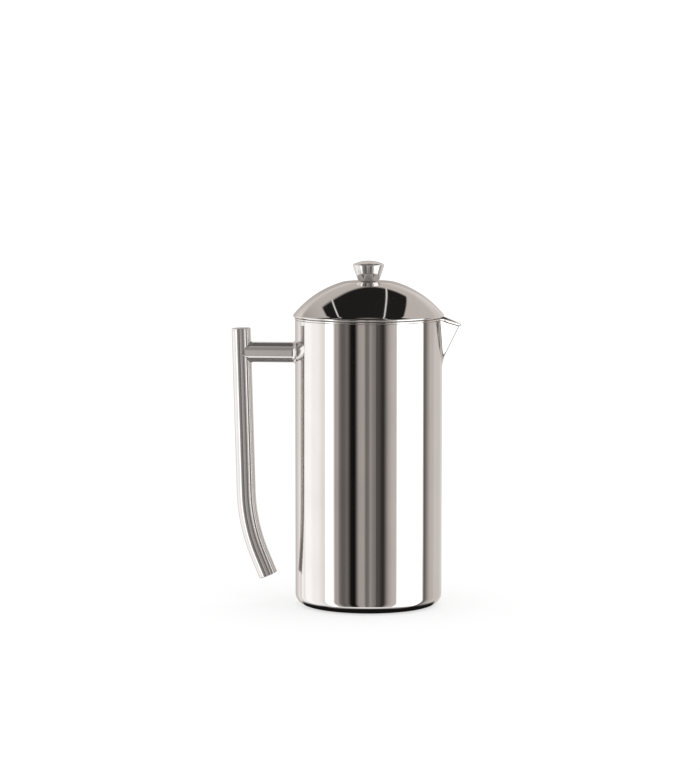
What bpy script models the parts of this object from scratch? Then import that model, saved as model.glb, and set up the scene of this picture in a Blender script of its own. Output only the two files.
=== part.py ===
"""French press: a double-wall steel pot, its domed lid and its plunger.

Frame: metres, +Z up. The origin is on the pot's axis at the face it stands on.
The spout points to +X and the handle to -X.
"""

import math

import bmesh
import bpy
from mathutils import Vector

MM = 0.001

# Gaps
SEAT_GAP = 0.3 * MM  # between two pieces that touch or are welded
RUN_GAP = 0.35 * MM  # around the rod and in the lid's running fits
WIPE_GAP = 0.5 * MM  # from the filter's edge to the vessel wall

# Facets of a full turn
POT_FACETS = 48
ROUND_FACETS = 24
HOLE_FACETS = 12
HEX_FACETS = 6
FOOT_STEPS = 5  # of the arc at the pot's foot
CORNER_STEPS = 4  # of the smaller arcs
SHARP_ANGLE = math.radians(35.0)

# Pot
POT_RADIUS = 51.0 * MM
POT_HEIGHT = 201.0 * MM
SHEET = 0.8 * MM
WALL_SPACE = 3.4 * MM
FOOT_RADIUS = 7.9 * MM
FOOT_LIP = 1.0 * MM
RIM_HEIGHT = 1.4 * MM
RIM_PROUD = 0.3 * MM
RIM_ROUND = 0.4 * MM
BASE_THICKNESS = 1.2 * MM
BASE_BEVEL = 0.4 * MM
BASE_SPACE = 3.5 * MM
VESSEL_CORNER = 8.0 * MM

# Spout
SPOUT_DROP = 31.7 * MM  # from the rim down to where the fold leaves the wall
SPOUT_FOLD_LEAN = math.radians(26.0)  # of the fold, from upright
SPOUT_HALF_ANGLE = math.radians(30.0)  # of the V, seen from above
SPOUT_EDGE_SLOPE = math.radians(21.6)  # of its upper edges, down from the rim
SPOUT_LIP_PROUD = 0.9 * MM
SPOUT_LIP_HEIGHT = 2.0 * MM

# Handle
GRIP_RADIUS = 6.65 * MM
GRIP_WALL = 1.2 * MM
GRIP_REACH = 38.2 * MM  # from the pot's wall to the grip's axis at its top
GRIP_TOP_DROP = 8.1 * MM  # from the pot's rim
GRIP_LEAN = math.radians(1.6)
GRIP_BEND_RADIUS = 125.0 * MM
GRIP_BEND = math.radians(20.9)
GRIP_BEND_STEPS = 8
GRIP_FOOT = 15.8 * MM  # straight stretch below the bend
GRIP_FOOT_HEIGHT = 19.1 * MM  # from the table to the grip's cut end, at its axis
CAP_THICKNESS = 1.4 * MM
CAP_ROUND = 0.6 * MM
CAP_PLUG = 4.0 * MM
POST_RADIUS = 7.1 * MM
POST_WALL = 1.2 * MM
POST_DROP = 24.8 * MM  # from the pot's rim to the post's axis
POST_FLARE = 1.4 * MM
POST_FLARE_RUN = 2.8 * MM  # along the post
POST_SADDLE = 2.2 * MM  # from the grip's axis to the post's trimmed tips

# Lid
LID_OVERHANG = 1.4 * MM
LID_WALL = 0.9 * MM
LID_HEM_HEIGHT = 1.9 * MM
LID_HEM_WIDTH = 1.8 * MM
LID_HEM_ROUND = 0.5 * MM
LID_RISE = 24.7 * MM  # from the hem's base to the top's rim
PLATEAU_RADIUS = 16.8 * MM
PLATEAU_DISH = 1.2 * MM  # from the top's rim down to its middle
PLATEAU_STEPS = 4
DOME_ARC_RADIUS = 67.0 * MM
DOME_STEPS = 8
SLEEVE_DEPTH = 14.3 * MM
SLEEVE_GAP = 0.4 * MM
LINER_THICKNESS = 0.8 * MM
STRAINER_SLOTS = 5
STRAINER_SLOT_WIDTH = 2.4 * MM
STRAINER_PITCH = 5.0 * MM
STRAINER_MARGIN = 2.0 * MM  # of whole sleeve above and below the slots

# Bushing
BUSHING_RADIUS = 4.2 * MM
BUSHING_FLANGE_RADIUS = 7.5 * MM
BUSHING_FLANGE_HEIGHT = 1.5 * MM
BUSHING_NUT_RADIUS = 8.0 * MM
BUSHING_NUT_HEIGHT = 3.0 * MM

# Knob and rod
KNOB_HEIGHT = 15.2 * MM
KNOB_RADIUS = 10.9 * MM
KNOB_CROWN = 2.5 * MM
KNOB_EDGE = 0.6 * MM
KNOB_WAIST_RADIUS = 7.4 * MM
KNOB_WAIST_HEIGHT = 1.7 * MM
KNOB_NECK_RADIUS = 3.4 * MM
KNOB_NECK_HEIGHT = 0.4 * MM
ROD_RADIUS = 2.5 * MM
STUD_RADIUS = 1.9 * MM
STUD_LENGTH = 7.0 * MM
THREAD_RADIUS = 2.0 * MM

# Filter stack
GROUNDS_SPACE = 8.5 * MM  # from the vessel's floor to the stack
HUB_NUT_RADIUS = 6.5 * MM
HUB_NUT_HEIGHT = 3.7 * MM
CROSS_PLATE_THICKNESS = 1.0 * MM
CROSS_PLATE_INSET = 3.0 * MM  # from the vessel wall to the plate's edge
MESH_THICKNESS = 0.4 * MM
MESH_EDGE_HEIGHT = 1.6 * MM
SPRING_PLATE_THICKNESS = 0.8 * MM
SPRING_COIL_RADIUS = 2.0 * MM
SPRING_COVER = 1.0 * MM  # from the plate's upper lip to the spring's outer side
SPRING_SIDES = 10
COLLAR_RADIUS = 6.0 * MM
COLLAR_HEIGHT = 5.0 * MM
COLLAR_CHAMFER = 1.0 * MM
WEB_HOLE_RADIUS = 5.5 * MM
WEB_HOLES = 8
WEB_MARGIN = 5.9 * MM  # of plate between the outer holes and the channel
HUB_HOLE_RADIUS = 3.0 * MM
HUB_HOLES = 6
HUB_RING_RADIUS = 14.0 * MM

# Heights that several pieces share
VESSEL_RADIUS = POT_RADIUS - SHEET - WALL_SPACE - SHEET
LID_RADIUS = POT_RADIUS + LID_OVERHANG
FLOOR_HEIGHT = BASE_THICKNESS + BASE_SPACE + SHEET
LID_BASE = POT_HEIGHT + SEAT_GAP
PLATEAU_HEIGHT = LID_BASE + LID_RISE
SLEEVE_RADIUS = VESSEL_RADIUS - SLEEVE_GAP
SLEEVE_FLANGE_RADIUS = LID_RADIUS - LID_HEM_WIDTH - SEAT_GAP
LINER_BASE = LID_BASE + SHEET + SEAT_GAP
PLATEAU_MIDDLE = PLATEAU_HEIGHT - PLATEAU_DISH
KNOB_BASE = PLATEAU_MIDDLE + SEAT_GAP
BUSHING_BORE = ROD_RADIUS + RUN_GAP
HUB_NUT_BASE = FLOOR_HEIGHT + GROUNDS_SPACE
CROSS_PLATE_BASE = HUB_NUT_BASE + HUB_NUT_HEIGHT + SEAT_GAP
FINE_MESH_BASE = CROSS_PLATE_BASE + CROSS_PLATE_THICKNESS + SEAT_GAP
COARSE_MESH_BASE = FINE_MESH_BASE + MESH_THICKNESS + SEAT_GAP
SPRING_PLATE_BASE = COARSE_MESH_BASE + MESH_THICKNESS + SEAT_GAP
COLLAR_BASE = SPRING_PLATE_BASE + SPRING_PLATE_THICKNESS + SEAT_GAP
THREAD_BORE = THREAD_RADIUS + RUN_GAP
SPRING_OUTER = VESSEL_RADIUS - WIPE_GAP
SPRING_RING_RADIUS = SPRING_OUTER - SPRING_COIL_RADIUS
SPRING_BASE = FINE_MESH_BASE + MESH_EDGE_HEIGHT + RUN_GAP
CHANNEL_RADIUS = SPRING_RING_RADIUS - SPRING_COIL_RADIUS - SEAT_GAP
CHANNEL_TOP = SPRING_BASE + 2 * SPRING_COIL_RADIUS + SEAT_GAP
CHANNEL_INSIDE = CHANNEL_RADIUS - SPRING_PLATE_THICKNESS
WEB_RING_RADIUS = CHANNEL_INSIDE - WEB_MARGIN - WEB_HOLE_RADIUS
CROSS_PLATE_RADIUS = VESSEL_RADIUS - CROSS_PLATE_INSET
GRIP_TOP = (-(POT_RADIUS + GRIP_REACH), POT_HEIGHT - GRIP_TOP_DROP)

MERGE_DISTANCE = 0.00001
CUT_EXTRA = 5.0 * MM  # how far a cutter stands past what it cuts


def clear_scene():
    """Remove every object that the file started with."""
    for obj in list(bpy.data.objects):
        bpy.data.objects.remove(obj, do_unlink=True)


def new_collection(name):
    """Collection linked to the scene."""
    collection = bpy.data.collections.new(name)
    bpy.context.scene.collection.children.link(collection)
    return collection


def new_material(name, colour, roughness, metallic):
    """Principled material with one colour."""
    material = bpy.data.materials.new(name)
    material.use_nodes = True
    shader = material.node_tree.nodes["Principled BSDF"]
    shader.inputs["Base Color"].default_value = (*colour, 1.0)
    shader.inputs["Roughness"].default_value = roughness
    shader.inputs["Metallic"].default_value = metallic
    return material


clear_scene()
PARTS = new_collection("french_press")
CUTTERS = new_collection("cutters")

MIRROR_STEEL = new_material("mirror_steel", (0.72, 0.70, 0.68), 0.06, 1.0)
SATIN_STEEL = new_material("satin_steel", (0.66, 0.65, 0.63), 0.30, 1.0)
SPRING_STEEL = new_material("spring_steel", (0.60, 0.60, 0.60), 0.25, 1.0)
MESH_STEEL = new_material("mesh_steel", (0.52, 0.52, 0.51), 0.45, 1.0)
BUSHING_PLASTIC = new_material("bushing_plastic", (0.10, 0.10, 0.10), 0.50, 0.0)


def add_part(obj, material):
    """Put an object in the press's collection and give it its material."""
    PARTS.objects.link(obj)
    obj.data.materials.append(material)
    return obj


def add_cutter(obj):
    """Put an object among the cutters, which aren't pieces of the press."""
    CUTTERS.objects.link(obj)
    obj.hide_render = True
    obj.display_type = "WIRE"
    return obj


def combine(obj, other, operation):
    """Boolean modifier of one object with another."""
    boolean = obj.modifiers.new(other.name, "BOOLEAN")
    boolean.operation = operation
    boolean.object = other
    boolean.solver = "EXACT"


def arc(centre, radius, start, end, steps):
    """Points on an arc, from one angle to another, both in radians."""
    points = []
    for step in range(steps + 1):
        angle = start + (end - start) * step / steps
        x = centre[0] + radius * math.cos(angle)
        z = centre[1] + radius * math.sin(angle)
        points.append((x, z))
    return points


def turned(name, profile, facets, ring=False):
    """Turn a profile of (radius, height) points about Z.

    The profile runs down its outer side. A ring's profile is a closed loop
    clear of the axis; any other profile starts and ends on the axis.
    """
    mesh = bpy.data.meshes.new(name)
    points = [(radius, 0.0, height) for radius, height in profile]
    edges = [(index, index + 1) for index in range(len(points) - 1)]
    if ring:
        edges.append((len(points) - 1, 0))
    mesh.from_pydata(points, edges, [])
    obj = bpy.data.objects.new(name, mesh)
    screw = obj.modifiers.new("turn", "SCREW")
    screw.axis = "Z"
    screw.angle = math.tau
    screw.steps = facets
    screw.render_steps = facets
    screw.use_merge_vertices = True
    screw.merge_threshold = MERGE_DISTANCE
    screw.use_smooth_shade = True
    return obj


def prism(name, corners, sweep):
    """Solid swept from a flat outline along a vector."""
    bm = bmesh.new()
    outline = [bm.verts.new(corner) for corner in corners]
    face = bm.faces.new(outline)
    swept = bmesh.ops.extrude_face_region(bm, geom=[face])
    moved = [item for item in swept["geom"] if isinstance(item, bmesh.types.BMVert)]
    bmesh.ops.translate(bm, verts=moved, vec=sweep)
    bmesh.ops.recalc_face_normals(bm, faces=bm.faces)
    mesh = bpy.data.meshes.new(name)
    bm.to_mesh(mesh)
    bm.free()
    return bpy.data.objects.new(name, mesh)


def cylinders(name, places, radius, low, high, facets):
    """Upright solid cylinders of one size, as one object."""
    bm = bmesh.new()
    for x, y in places:
        made = bmesh.ops.create_cone(
            bm,
            cap_ends=True,
            segments=facets,
            radius1=radius,
            radius2=radius,
            depth=high - low,
        )
        bmesh.ops.translate(bm, verts=made["verts"], vec=(x, y, (low + high) / 2))
    mesh = bpy.data.meshes.new(name)
    bm.to_mesh(mesh)
    bm.free()
    return bpy.data.objects.new(name, mesh)


def ring_places(count, radius):
    """Centres of a ring of equal steps about Z, clear of the facets' edges."""
    places = []
    for index in range(count):
        angle = math.tau * index / count + math.pi / POT_FACETS
        places.append((radius * math.cos(angle), radius * math.sin(angle)))
    return places


def curve_solid(name, points, radius, sides):
    """Mesh of a round bar along a line of points in the XZ plane."""
    curve = bpy.data.curves.new(name, "CURVE")
    curve.dimensions = "3D"
    curve.bevel_depth = radius
    curve.bevel_resolution = (sides - 4) // 2
    curve.use_fill_caps = True
    spline = curve.splines.new("POLY")
    spline.points.add(len(points) - 1)
    for point, (x, z) in zip(spline.points, points):
        point.co = (x, 0.0, z, 1.0)
    holder = bpy.data.objects.new(name + "_line", curve)
    bpy.context.scene.collection.objects.link(holder)
    bpy.context.view_layer.update()
    evaluated = holder.evaluated_get(bpy.context.evaluated_depsgraph_get())
    mesh = bpy.data.meshes.new_from_object(evaluated)
    bm = bmesh.new()
    bm.from_mesh(mesh)
    bmesh.ops.remove_doubles(bm, verts=bm.verts, dist=MERGE_DISTANCE)
    bmesh.ops.recalc_face_normals(bm, faces=bm.faces)
    bm.to_mesh(mesh)
    bm.free()
    obj = bpy.data.objects.new(name, mesh)
    obj.matrix_world = holder.matrix_world
    bpy.data.objects.remove(holder, do_unlink=True)
    return obj


def shade(obj):
    """Smooth shading with crisp edges."""
    obj.data.shade_smooth()
    obj.data.set_sharp_from_angle(angle=SHARP_ANGLE)


# ---------------------------------------------------------------- the spout


def spout_fold_radius(height):
    """Distance of the spout's outer fold from the pot's axis at a height."""
    rise = height - (POT_HEIGHT - SPOUT_DROP)
    return POT_RADIUS + rise * math.tan(SPOUT_FOLD_LEAN)


def spout_wedge(name, offset):
    """Solid V that leans with the spout's fold; offset moves its sides out."""
    low = POT_HEIGHT - SPOUT_DROP - 2 * (POT_RADIUS - VESSEL_RADIUS) / math.tan(
        SPOUT_FOLD_LEAN
    )
    high = POT_HEIGHT + 2 * CUT_EXTRA
    apex = spout_fold_radius(low) + offset / math.sin(SPOUT_HALF_ANGLE)
    depth = SPOUT_DROP + 2 * CUT_EXTRA
    half_width = depth * math.tan(SPOUT_HALF_ANGLE)
    corners = [
        (apex, 0.0, low),
        (apex - depth, half_width, low),
        (apex - depth, -half_width, low),
    ]
    rise = high - low
    return prism(name, corners, Vector((rise * math.tan(SPOUT_FOLD_LEAN), 0.0, rise)))


def spout_edge_block(name, drop):
    """Everything above the spout's sloping edge, lowered by a drop."""
    far = POT_RADIUS + SPOUT_DROP
    side = POT_RADIUS
    level = POT_HEIGHT - drop
    above = POT_HEIGHT + 4 * CUT_EXTRA
    fall = (far - LID_RADIUS) * math.tan(SPOUT_EDGE_SLOPE)
    corners = [
        (0.0, -side, level),
        (LID_RADIUS, -side, level),
        (far, -side, level - fall),
        (far, -side, above),
        (0.0, -side, above),
    ]
    return prism(name, corners, Vector((0.0, 2 * side, 0.0)))


def add_spout():
    """Folded V of sheet with an out-turned lip, open into the vessel."""
    above = POT_HEIGHT + 4 * CUT_EXTRA
    lip = add_cutter(spout_wedge("lip_wedge", SPOUT_LIP_PROUD))
    band = add_cutter(spout_edge_block("lip_band", SPOUT_LIP_HEIGHT))
    rim_clear = add_cutter(
        cylinders(
            "rim_clearance",
            [(0.0, 0.0)],
            POT_RADIUS + RIM_PROUD + SEAT_GAP,
            0.0,
            above,
            POT_FACETS,
        )
    )
    combine(lip, band, "INTERSECT")
    combine(lip, rim_clear, "DIFFERENCE")
    hollow = add_cutter(spout_wedge("spout_hollow", -SHEET))
    top = add_cutter(spout_edge_block("spout_top_cut", 0.0))
    chamber = add_cutter(
        cylinders(
            "chamber_cut",
            [(0.0, 0.0)],
            VESSEL_RADIUS + SEAT_GAP,
            0.0,
            above,
            POT_FACETS,
        )
    )
    spout = add_part(spout_wedge("spout", 0.0), MIRROR_STEEL)
    combine(spout, lip, "UNION")
    combine(spout, hollow, "DIFFERENCE")
    combine(spout, top, "DIFFERENCE")
    combine(spout, chamber, "DIFFERENCE")


# ------------------------------------------------------------------ the pot


def add_outer_shell(notch):
    """Outer wall, rounded in at its foot, with the spout's notch."""
    top = POT_HEIGHT - RIM_HEIGHT - SEAT_GAP
    inside = POT_RADIUS - SHEET
    foot_centre = (POT_RADIUS - FOOT_RADIUS, SEAT_GAP + FOOT_RADIUS)
    lip_radius = foot_centre[0] - FOOT_LIP
    profile = [(POT_RADIUS, top)]
    profile += arc(foot_centre, FOOT_RADIUS, 0.0, -math.pi / 2, FOOT_STEPS)
    profile += [(lip_radius, SEAT_GAP), (lip_radius, SEAT_GAP + SHEET)]
    profile += arc(foot_centre, FOOT_RADIUS - SHEET, -math.pi / 2, 0.0, FOOT_STEPS)
    profile += [(inside, top)]
    shell = add_part(turned("outer_shell", profile, POT_FACETS, ring=True), MIRROR_STEEL)
    combine(shell, notch, "DIFFERENCE")


def add_inner_vessel(notch):
    """Inner wall and floor, turned out at the top into the pot's rim."""
    outside = VESSEL_RADIUS + SHEET
    rim_base = POT_HEIGHT - RIM_HEIGHT
    rim_radius = POT_RADIUS + RIM_PROUD
    corner = (VESSEL_RADIUS - VESSEL_CORNER, FLOOR_HEIGHT + VESSEL_CORNER)
    profile = [(VESSEL_RADIUS, POT_HEIGHT), (rim_radius - RIM_ROUND, POT_HEIGHT)]
    profile += [
        (rim_radius, POT_HEIGHT - RIM_ROUND),
        (rim_radius, rim_base + RIM_ROUND),
        (rim_radius - RIM_ROUND, rim_base),
        (outside, rim_base),
    ]
    outside_corner = VESSEL_CORNER + SHEET
    profile += arc(corner, outside_corner, 0.0, -math.pi / 2, CORNER_STEPS)
    profile += [(0.0, FLOOR_HEIGHT - SHEET)]
    inner = [(0.0, FLOOR_HEIGHT)]
    inner += arc(corner, VESSEL_CORNER, -math.pi / 2, 0.0, CORNER_STEPS)
    vessel = turned("inner_vessel", inner + profile, POT_FACETS)
    add_part(vessel, SATIN_STEEL)
    combine(vessel, notch, "DIFFERENCE")


def add_base_plate():
    """Disc that closes the double wall and that the press stands on."""
    radius = POT_RADIUS - FOOT_RADIUS - FOOT_LIP - SEAT_GAP
    profile = [
        (0.0, BASE_THICKNESS),
        (radius, BASE_THICKNESS),
        (radius, BASE_BEVEL),
        (radius - BASE_BEVEL, 0.0),
        (0.0, 0.0),
    ]
    add_part(turned("base_plate", profile, POT_FACETS), SATIN_STEEL)


# --------------------------------------------------------------- the handle


def grip_axis_radius(height):
    """Distance of the grip's straight stretch from the pot's axis."""
    return -GRIP_TOP[0] - (GRIP_TOP[1] - height) * math.tan(GRIP_LEAN)


def grip_line(start_extra, end_extra):
    """Grip's centre line, top to foot, lengthened or shortened at its ends."""
    lean = GRIP_LEAN + GRIP_BEND
    bend_drop = GRIP_BEND_RADIUS * (math.sin(lean) - math.sin(GRIP_LEAN))
    foot_drop = GRIP_FOOT * math.cos(lean)
    bend_height = GRIP_FOOT_HEIGHT + foot_drop + bend_drop
    bend_x = -grip_axis_radius(bend_height)
    start_x = GRIP_TOP[0] - math.sin(GRIP_LEAN) * start_extra
    start_height = GRIP_TOP[1] + math.cos(GRIP_LEAN) * start_extra
    centre = (
        bend_x + GRIP_BEND_RADIUS * math.cos(GRIP_LEAN),
        bend_height + GRIP_BEND_RADIUS * math.sin(GRIP_LEAN),
    )
    first = math.pi + GRIP_LEAN
    points = [(start_x, start_height)]
    points += arc(centre, GRIP_BEND_RADIUS, first, first + GRIP_BEND, GRIP_BEND_STEPS)
    foot = GRIP_FOOT + end_extra
    last = points[-1]
    points.append((last[0] + math.sin(lean) * foot, last[1] - math.cos(lean) * foot))
    return points


def add_grip():
    """Round tube, open at both ends for its caps."""
    shortened = -(CAP_THICKNESS + SEAT_GAP)
    line = grip_line(shortened, shortened)
    grip = curve_solid("handle_grip", line, GRIP_RADIUS, ROUND_FACETS)
    shade(grip)
    add_part(grip, MIRROR_STEEL)
    bore_line = grip_line(CUT_EXTRA, CUT_EXTRA)
    bore = curve_solid("grip_bore", bore_line, GRIP_RADIUS - GRIP_WALL, ROUND_FACETS)
    combine(grip, add_cutter(bore), "DIFFERENCE")


def add_grip_cap(name, end, tilt):
    """End cap: a disc with a plug that goes into the tube."""
    plug_radius = GRIP_RADIUS - GRIP_WALL - SEAT_GAP
    profile = [
        (0.0, 0.0),
        (GRIP_RADIUS - CAP_ROUND, 0.0),
        (GRIP_RADIUS, -CAP_ROUND),
        (GRIP_RADIUS, -CAP_THICKNESS),
        (plug_radius, -CAP_THICKNESS),
        (plug_radius, -CAP_THICKNESS - CAP_PLUG),
        (0.0, -CAP_THICKNESS - CAP_PLUG),
    ]
    cap = turned(name, profile, ROUND_FACETS)
    cap.location = (end[0], 0.0, end[1])
    cap.rotation_euler = (0.0, tilt, 0.0)
    add_part(cap, MIRROR_STEEL)


def add_handle_caps():
    """The grip's two end caps."""
    line = grip_line(0.0, 0.0)
    add_grip_cap("grip_top_cap", line[0], -GRIP_LEAN)
    add_grip_cap("grip_bottom_cap", line[-1], math.pi - GRIP_LEAN - GRIP_BEND)


def add_post():
    """Level tube from the pot to the grip, flared where it is welded."""
    height = POT_HEIGHT - POST_DROP
    grip_radius = grip_axis_radius(height)
    tip = grip_radius - POST_SADDLE
    start = POT_RADIUS - CUT_EXTRA
    flare_end = POT_RADIUS + POST_FLARE_RUN
    bore = POST_RADIUS - POST_WALL
    profile = [
        (POST_RADIUS, tip),
        (POST_RADIUS, flare_end),
        (POST_RADIUS + POST_FLARE / 3, POT_RADIUS + POST_FLARE_RUN / 2),
        (POST_RADIUS + POST_FLARE, POT_RADIUS),
        (POST_RADIUS + POST_FLARE, start),
        (bore, start),
        (bore, tip),
    ]
    post = turned("handle_post", profile, ROUND_FACETS, ring=True)
    post.location = (0.0, 0.0, height)
    post.rotation_euler = (0.0, -math.pi / 2, 0.0)
    add_part(post, MIRROR_STEEL)
    pot_cut = cylinders(
        "post_pot_cut",
        [(0.0, 0.0)],
        POT_RADIUS + SEAT_GAP,
        0.0,
        POT_HEIGHT,
        POT_FACETS,
    )
    saddle = curve_solid(
        "post_saddle",
        grip_line(CUT_EXTRA, 0.0),
        GRIP_RADIUS + SEAT_GAP,
        ROUND_FACETS,
    )
    combine(post, add_cutter(pot_cut), "DIFFERENCE")
    combine(post, add_cutter(saddle), "DIFFERENCE")


# ------------------------------------------------------------------ the lid


def dome_centre():
    """Centre of the dome's arc, from the hem's top to the plateau's edge."""
    foot = Vector((LID_RADIUS - LID_HEM_ROUND, LID_BASE + LID_HEM_HEIGHT))
    head = Vector((PLATEAU_RADIUS, PLATEAU_HEIGHT))
    middle = (foot + head) / 2
    chord = head - foot
    inward = Vector((-chord.y, chord.x)).normalized()
    depth = math.sqrt(DOME_ARC_RADIUS**2 - chord.length_squared / 4)
    return middle + inward * depth, foot, head


def dished(rim_height, bore):
    """Points of a dished line, from just inside the plateau's rim to the bore."""
    points = []
    for step in range(1, PLATEAU_STEPS + 1):
        reach = PLATEAU_RADIUS + (bore - PLATEAU_RADIUS) * step / PLATEAU_STEPS
        share = (reach - bore) / (PLATEAU_RADIUS - bore)
        points.append((reach, rim_height - PLATEAU_DISH * (1.0 - share**2)))
    return points


def add_lid_dome():
    """Domed shell with a dished top and a rolled hem, bored for the bushing."""
    centre, foot, head = dome_centre()
    bore = BUSHING_RADIUS + RUN_GAP
    hem_inside = LID_RADIUS - LID_HEM_WIDTH
    inner_radius = DOME_ARC_RADIUS - LID_WALL
    outer_low = math.atan2(foot.y - centre.y, foot.x - centre.x)
    outer_high = math.atan2(head.y - centre.y, head.x - centre.x)
    inner_low = math.acos((hem_inside - centre.x) / inner_radius)
    inner_high = math.acos((PLATEAU_RADIUS - centre.x) / inner_radius)
    inner_top = centre.y + inner_radius * math.sin(inner_high)
    profile = dished(PLATEAU_HEIGHT, bore)[::-1]
    profile += arc(centre, DOME_ARC_RADIUS, outer_high, outer_low, DOME_STEPS)
    profile += [
        (LID_RADIUS, foot.y - LID_HEM_ROUND),
        (LID_RADIUS, LID_BASE + LID_HEM_ROUND),
        (LID_RADIUS - LID_HEM_ROUND, LID_BASE),
        (hem_inside, LID_BASE),
    ]
    profile += arc(centre, inner_radius, inner_low, inner_high, DOME_STEPS)
    profile += dished(inner_top, bore)
    add_part(turned("lid_dome", profile, POT_FACETS, ring=True), MIRROR_STEEL)
    return inner_top - PLATEAU_DISH


def add_lid_sleeve():
    """Skirt that centres the lid, with a flange on top and strainer slots."""
    inside = SLEEVE_RADIUS - SHEET
    low = LID_BASE - SLEEVE_DEPTH
    profile = [
        (SLEEVE_FLANGE_RADIUS, LID_BASE + SHEET),
        (SLEEVE_FLANGE_RADIUS, LID_BASE),
        (SLEEVE_RADIUS, LID_BASE),
        (SLEEVE_RADIUS, low),
        (inside, low),
        (inside, LID_BASE + SHEET),
    ]
    sleeve = turned("lid_sleeve", profile, POT_FACETS, ring=True)
    add_part(sleeve, SATIN_STEEL)
    slot_low = low + STRAINER_MARGIN
    slot_high = LID_BASE - STRAINER_MARGIN
    for index in range(STRAINER_SLOTS):
        middle = (index - (STRAINER_SLOTS - 1) / 2) * STRAINER_PITCH
        near = middle - STRAINER_SLOT_WIDTH / 2
        far = middle + STRAINER_SLOT_WIDTH / 2
        start = inside - CUT_EXTRA
        corners = [
            (start, near, slot_low),
            (start, far, slot_low),
            (start, far, slot_high),
            (start, near, slot_high),
        ]
        slot = prism(f"strainer_slot_{index + 1}", corners, Vector((3 * CUT_EXTRA, 0.0, 0.0)))
        combine(sleeve, add_cutter(slot), "DIFFERENCE")


def add_lid_liner():
    """Flat inner plate of the lid, which carries the bushing's nut."""
    radius = SLEEVE_FLANGE_RADIUS - SEAT_GAP
    bore = BUSHING_RADIUS + RUN_GAP
    top = LINER_BASE + LINER_THICKNESS
    profile = [(radius, top), (radius, LINER_BASE), (bore, LINER_BASE), (bore, top)]
    add_part(turned("lid_liner", profile, POT_FACETS, ring=True), SATIN_STEEL)


def add_bushing(dome_inside):
    """Guide tube for the rod, with a flange under the dome's dished top."""
    flange_top = dome_inside - RUN_GAP
    flange_base = flange_top - BUSHING_FLANGE_HEIGHT
    low = LINER_BASE - RUN_GAP - BUSHING_NUT_HEIGHT
    profile = [
        (BUSHING_RADIUS, PLATEAU_MIDDLE),
        (BUSHING_RADIUS, flange_top),
        (BUSHING_FLANGE_RADIUS, flange_top),
        (BUSHING_FLANGE_RADIUS, flange_base),
        (BUSHING_RADIUS, flange_base),
        (BUSHING_RADIUS, low),
        (BUSHING_BORE, low),
        (BUSHING_BORE, PLATEAU_MIDDLE),
    ]
    add_part(turned("rod_bushing", profile, ROUND_FACETS, ring=True), BUSHING_PLASTIC)


def add_hex_nut(name, radius, low, height, bore, material):
    """Six-sided nut with a round bore."""
    nut = cylinders(name, [(0.0, 0.0)], radius, low, low + height, HEX_FACETS)
    add_part(nut, material)
    hole = cylinders(
        name + "_bore",
        [(0.0, 0.0)],
        bore,
        low - CUT_EXTRA,
        low + height + CUT_EXTRA,
        ROUND_FACETS,
    )
    combine(nut, add_cutter(hole), "DIFFERENCE")


# -------------------------------------------------------------- the plunger


def add_knob():
    """Knob that widens upward to a crowned top, bored for the rod's stud."""
    top = KNOB_BASE + KNOB_HEIGHT
    edge_radius = KNOB_RADIUS - KNOB_EDGE
    crown_radius = (edge_radius**2 + KNOB_CROWN**2) / (2 * KNOB_CROWN)
    crown_angle = math.asin(edge_radius / crown_radius)
    edge_height = top - KNOB_CROWN
    waist_height = KNOB_BASE + KNOB_WAIST_HEIGHT
    neck_height = KNOB_BASE + KNOB_NECK_HEIGHT
    bore = STUD_RADIUS + SEAT_GAP
    profile = arc(
        (0.0, top - crown_radius),
        crown_radius,
        math.pi / 2,
        math.pi / 2 - crown_angle,
        CORNER_STEPS,
    )
    profile[0] = (0.0, top)
    profile += [
        (KNOB_RADIUS, edge_height - KNOB_EDGE),
        (KNOB_WAIST_RADIUS, waist_height),
    ]
    across = KNOB_WAIST_RADIUS - KNOB_NECK_RADIUS
    down = waist_height - neck_height
    for share_x, share_z in arc((0.0, 0.0), 1.0, 0.0, -math.pi / 2, CORNER_STEPS)[1:]:
        radius = KNOB_NECK_RADIUS + share_x * across
        profile.append((radius, waist_height + share_z * down))
    profile += [
        (KNOB_NECK_RADIUS, KNOB_BASE),
        (bore, KNOB_BASE),
        (bore, KNOB_BASE + STUD_LENGTH + SEAT_GAP),
        (0.0, KNOB_BASE + STUD_LENGTH + SEAT_GAP),
    ]
    add_part(turned("knob", profile, ROUND_FACETS), MIRROR_STEEL)


def add_rod():
    """Rod with a stud for the knob and a thinner end for the filter stack."""
    profile = [
        (0.0, KNOB_BASE + STUD_LENGTH),
        (STUD_RADIUS, KNOB_BASE + STUD_LENGTH),
        (STUD_RADIUS, KNOB_BASE - SEAT_GAP),
        (ROD_RADIUS, KNOB_BASE - SEAT_GAP),
        (ROD_RADIUS, COLLAR_BASE),
        (THREAD_RADIUS, COLLAR_BASE),
        (THREAD_RADIUS, HUB_NUT_BASE),
        (0.0, HUB_NUT_BASE),
    ]
    add_part(turned("plunger_rod", profile, ROUND_FACETS), SATIN_STEEL)


def add_collar():
    """Collar on the rod that presses the stack together from above."""
    bore = ROD_RADIUS + SEAT_GAP
    top = COLLAR_BASE + COLLAR_HEIGHT
    profile = [
        (COLLAR_RADIUS - COLLAR_CHAMFER, top),
        (COLLAR_RADIUS, top - COLLAR_CHAMFER),
        (COLLAR_RADIUS, COLLAR_BASE),
        (bore, COLLAR_BASE),
        (bore, top),
    ]
    add_part(turned("rod_collar", profile, ROUND_FACETS, ring=True), SATIN_STEEL)


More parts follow.
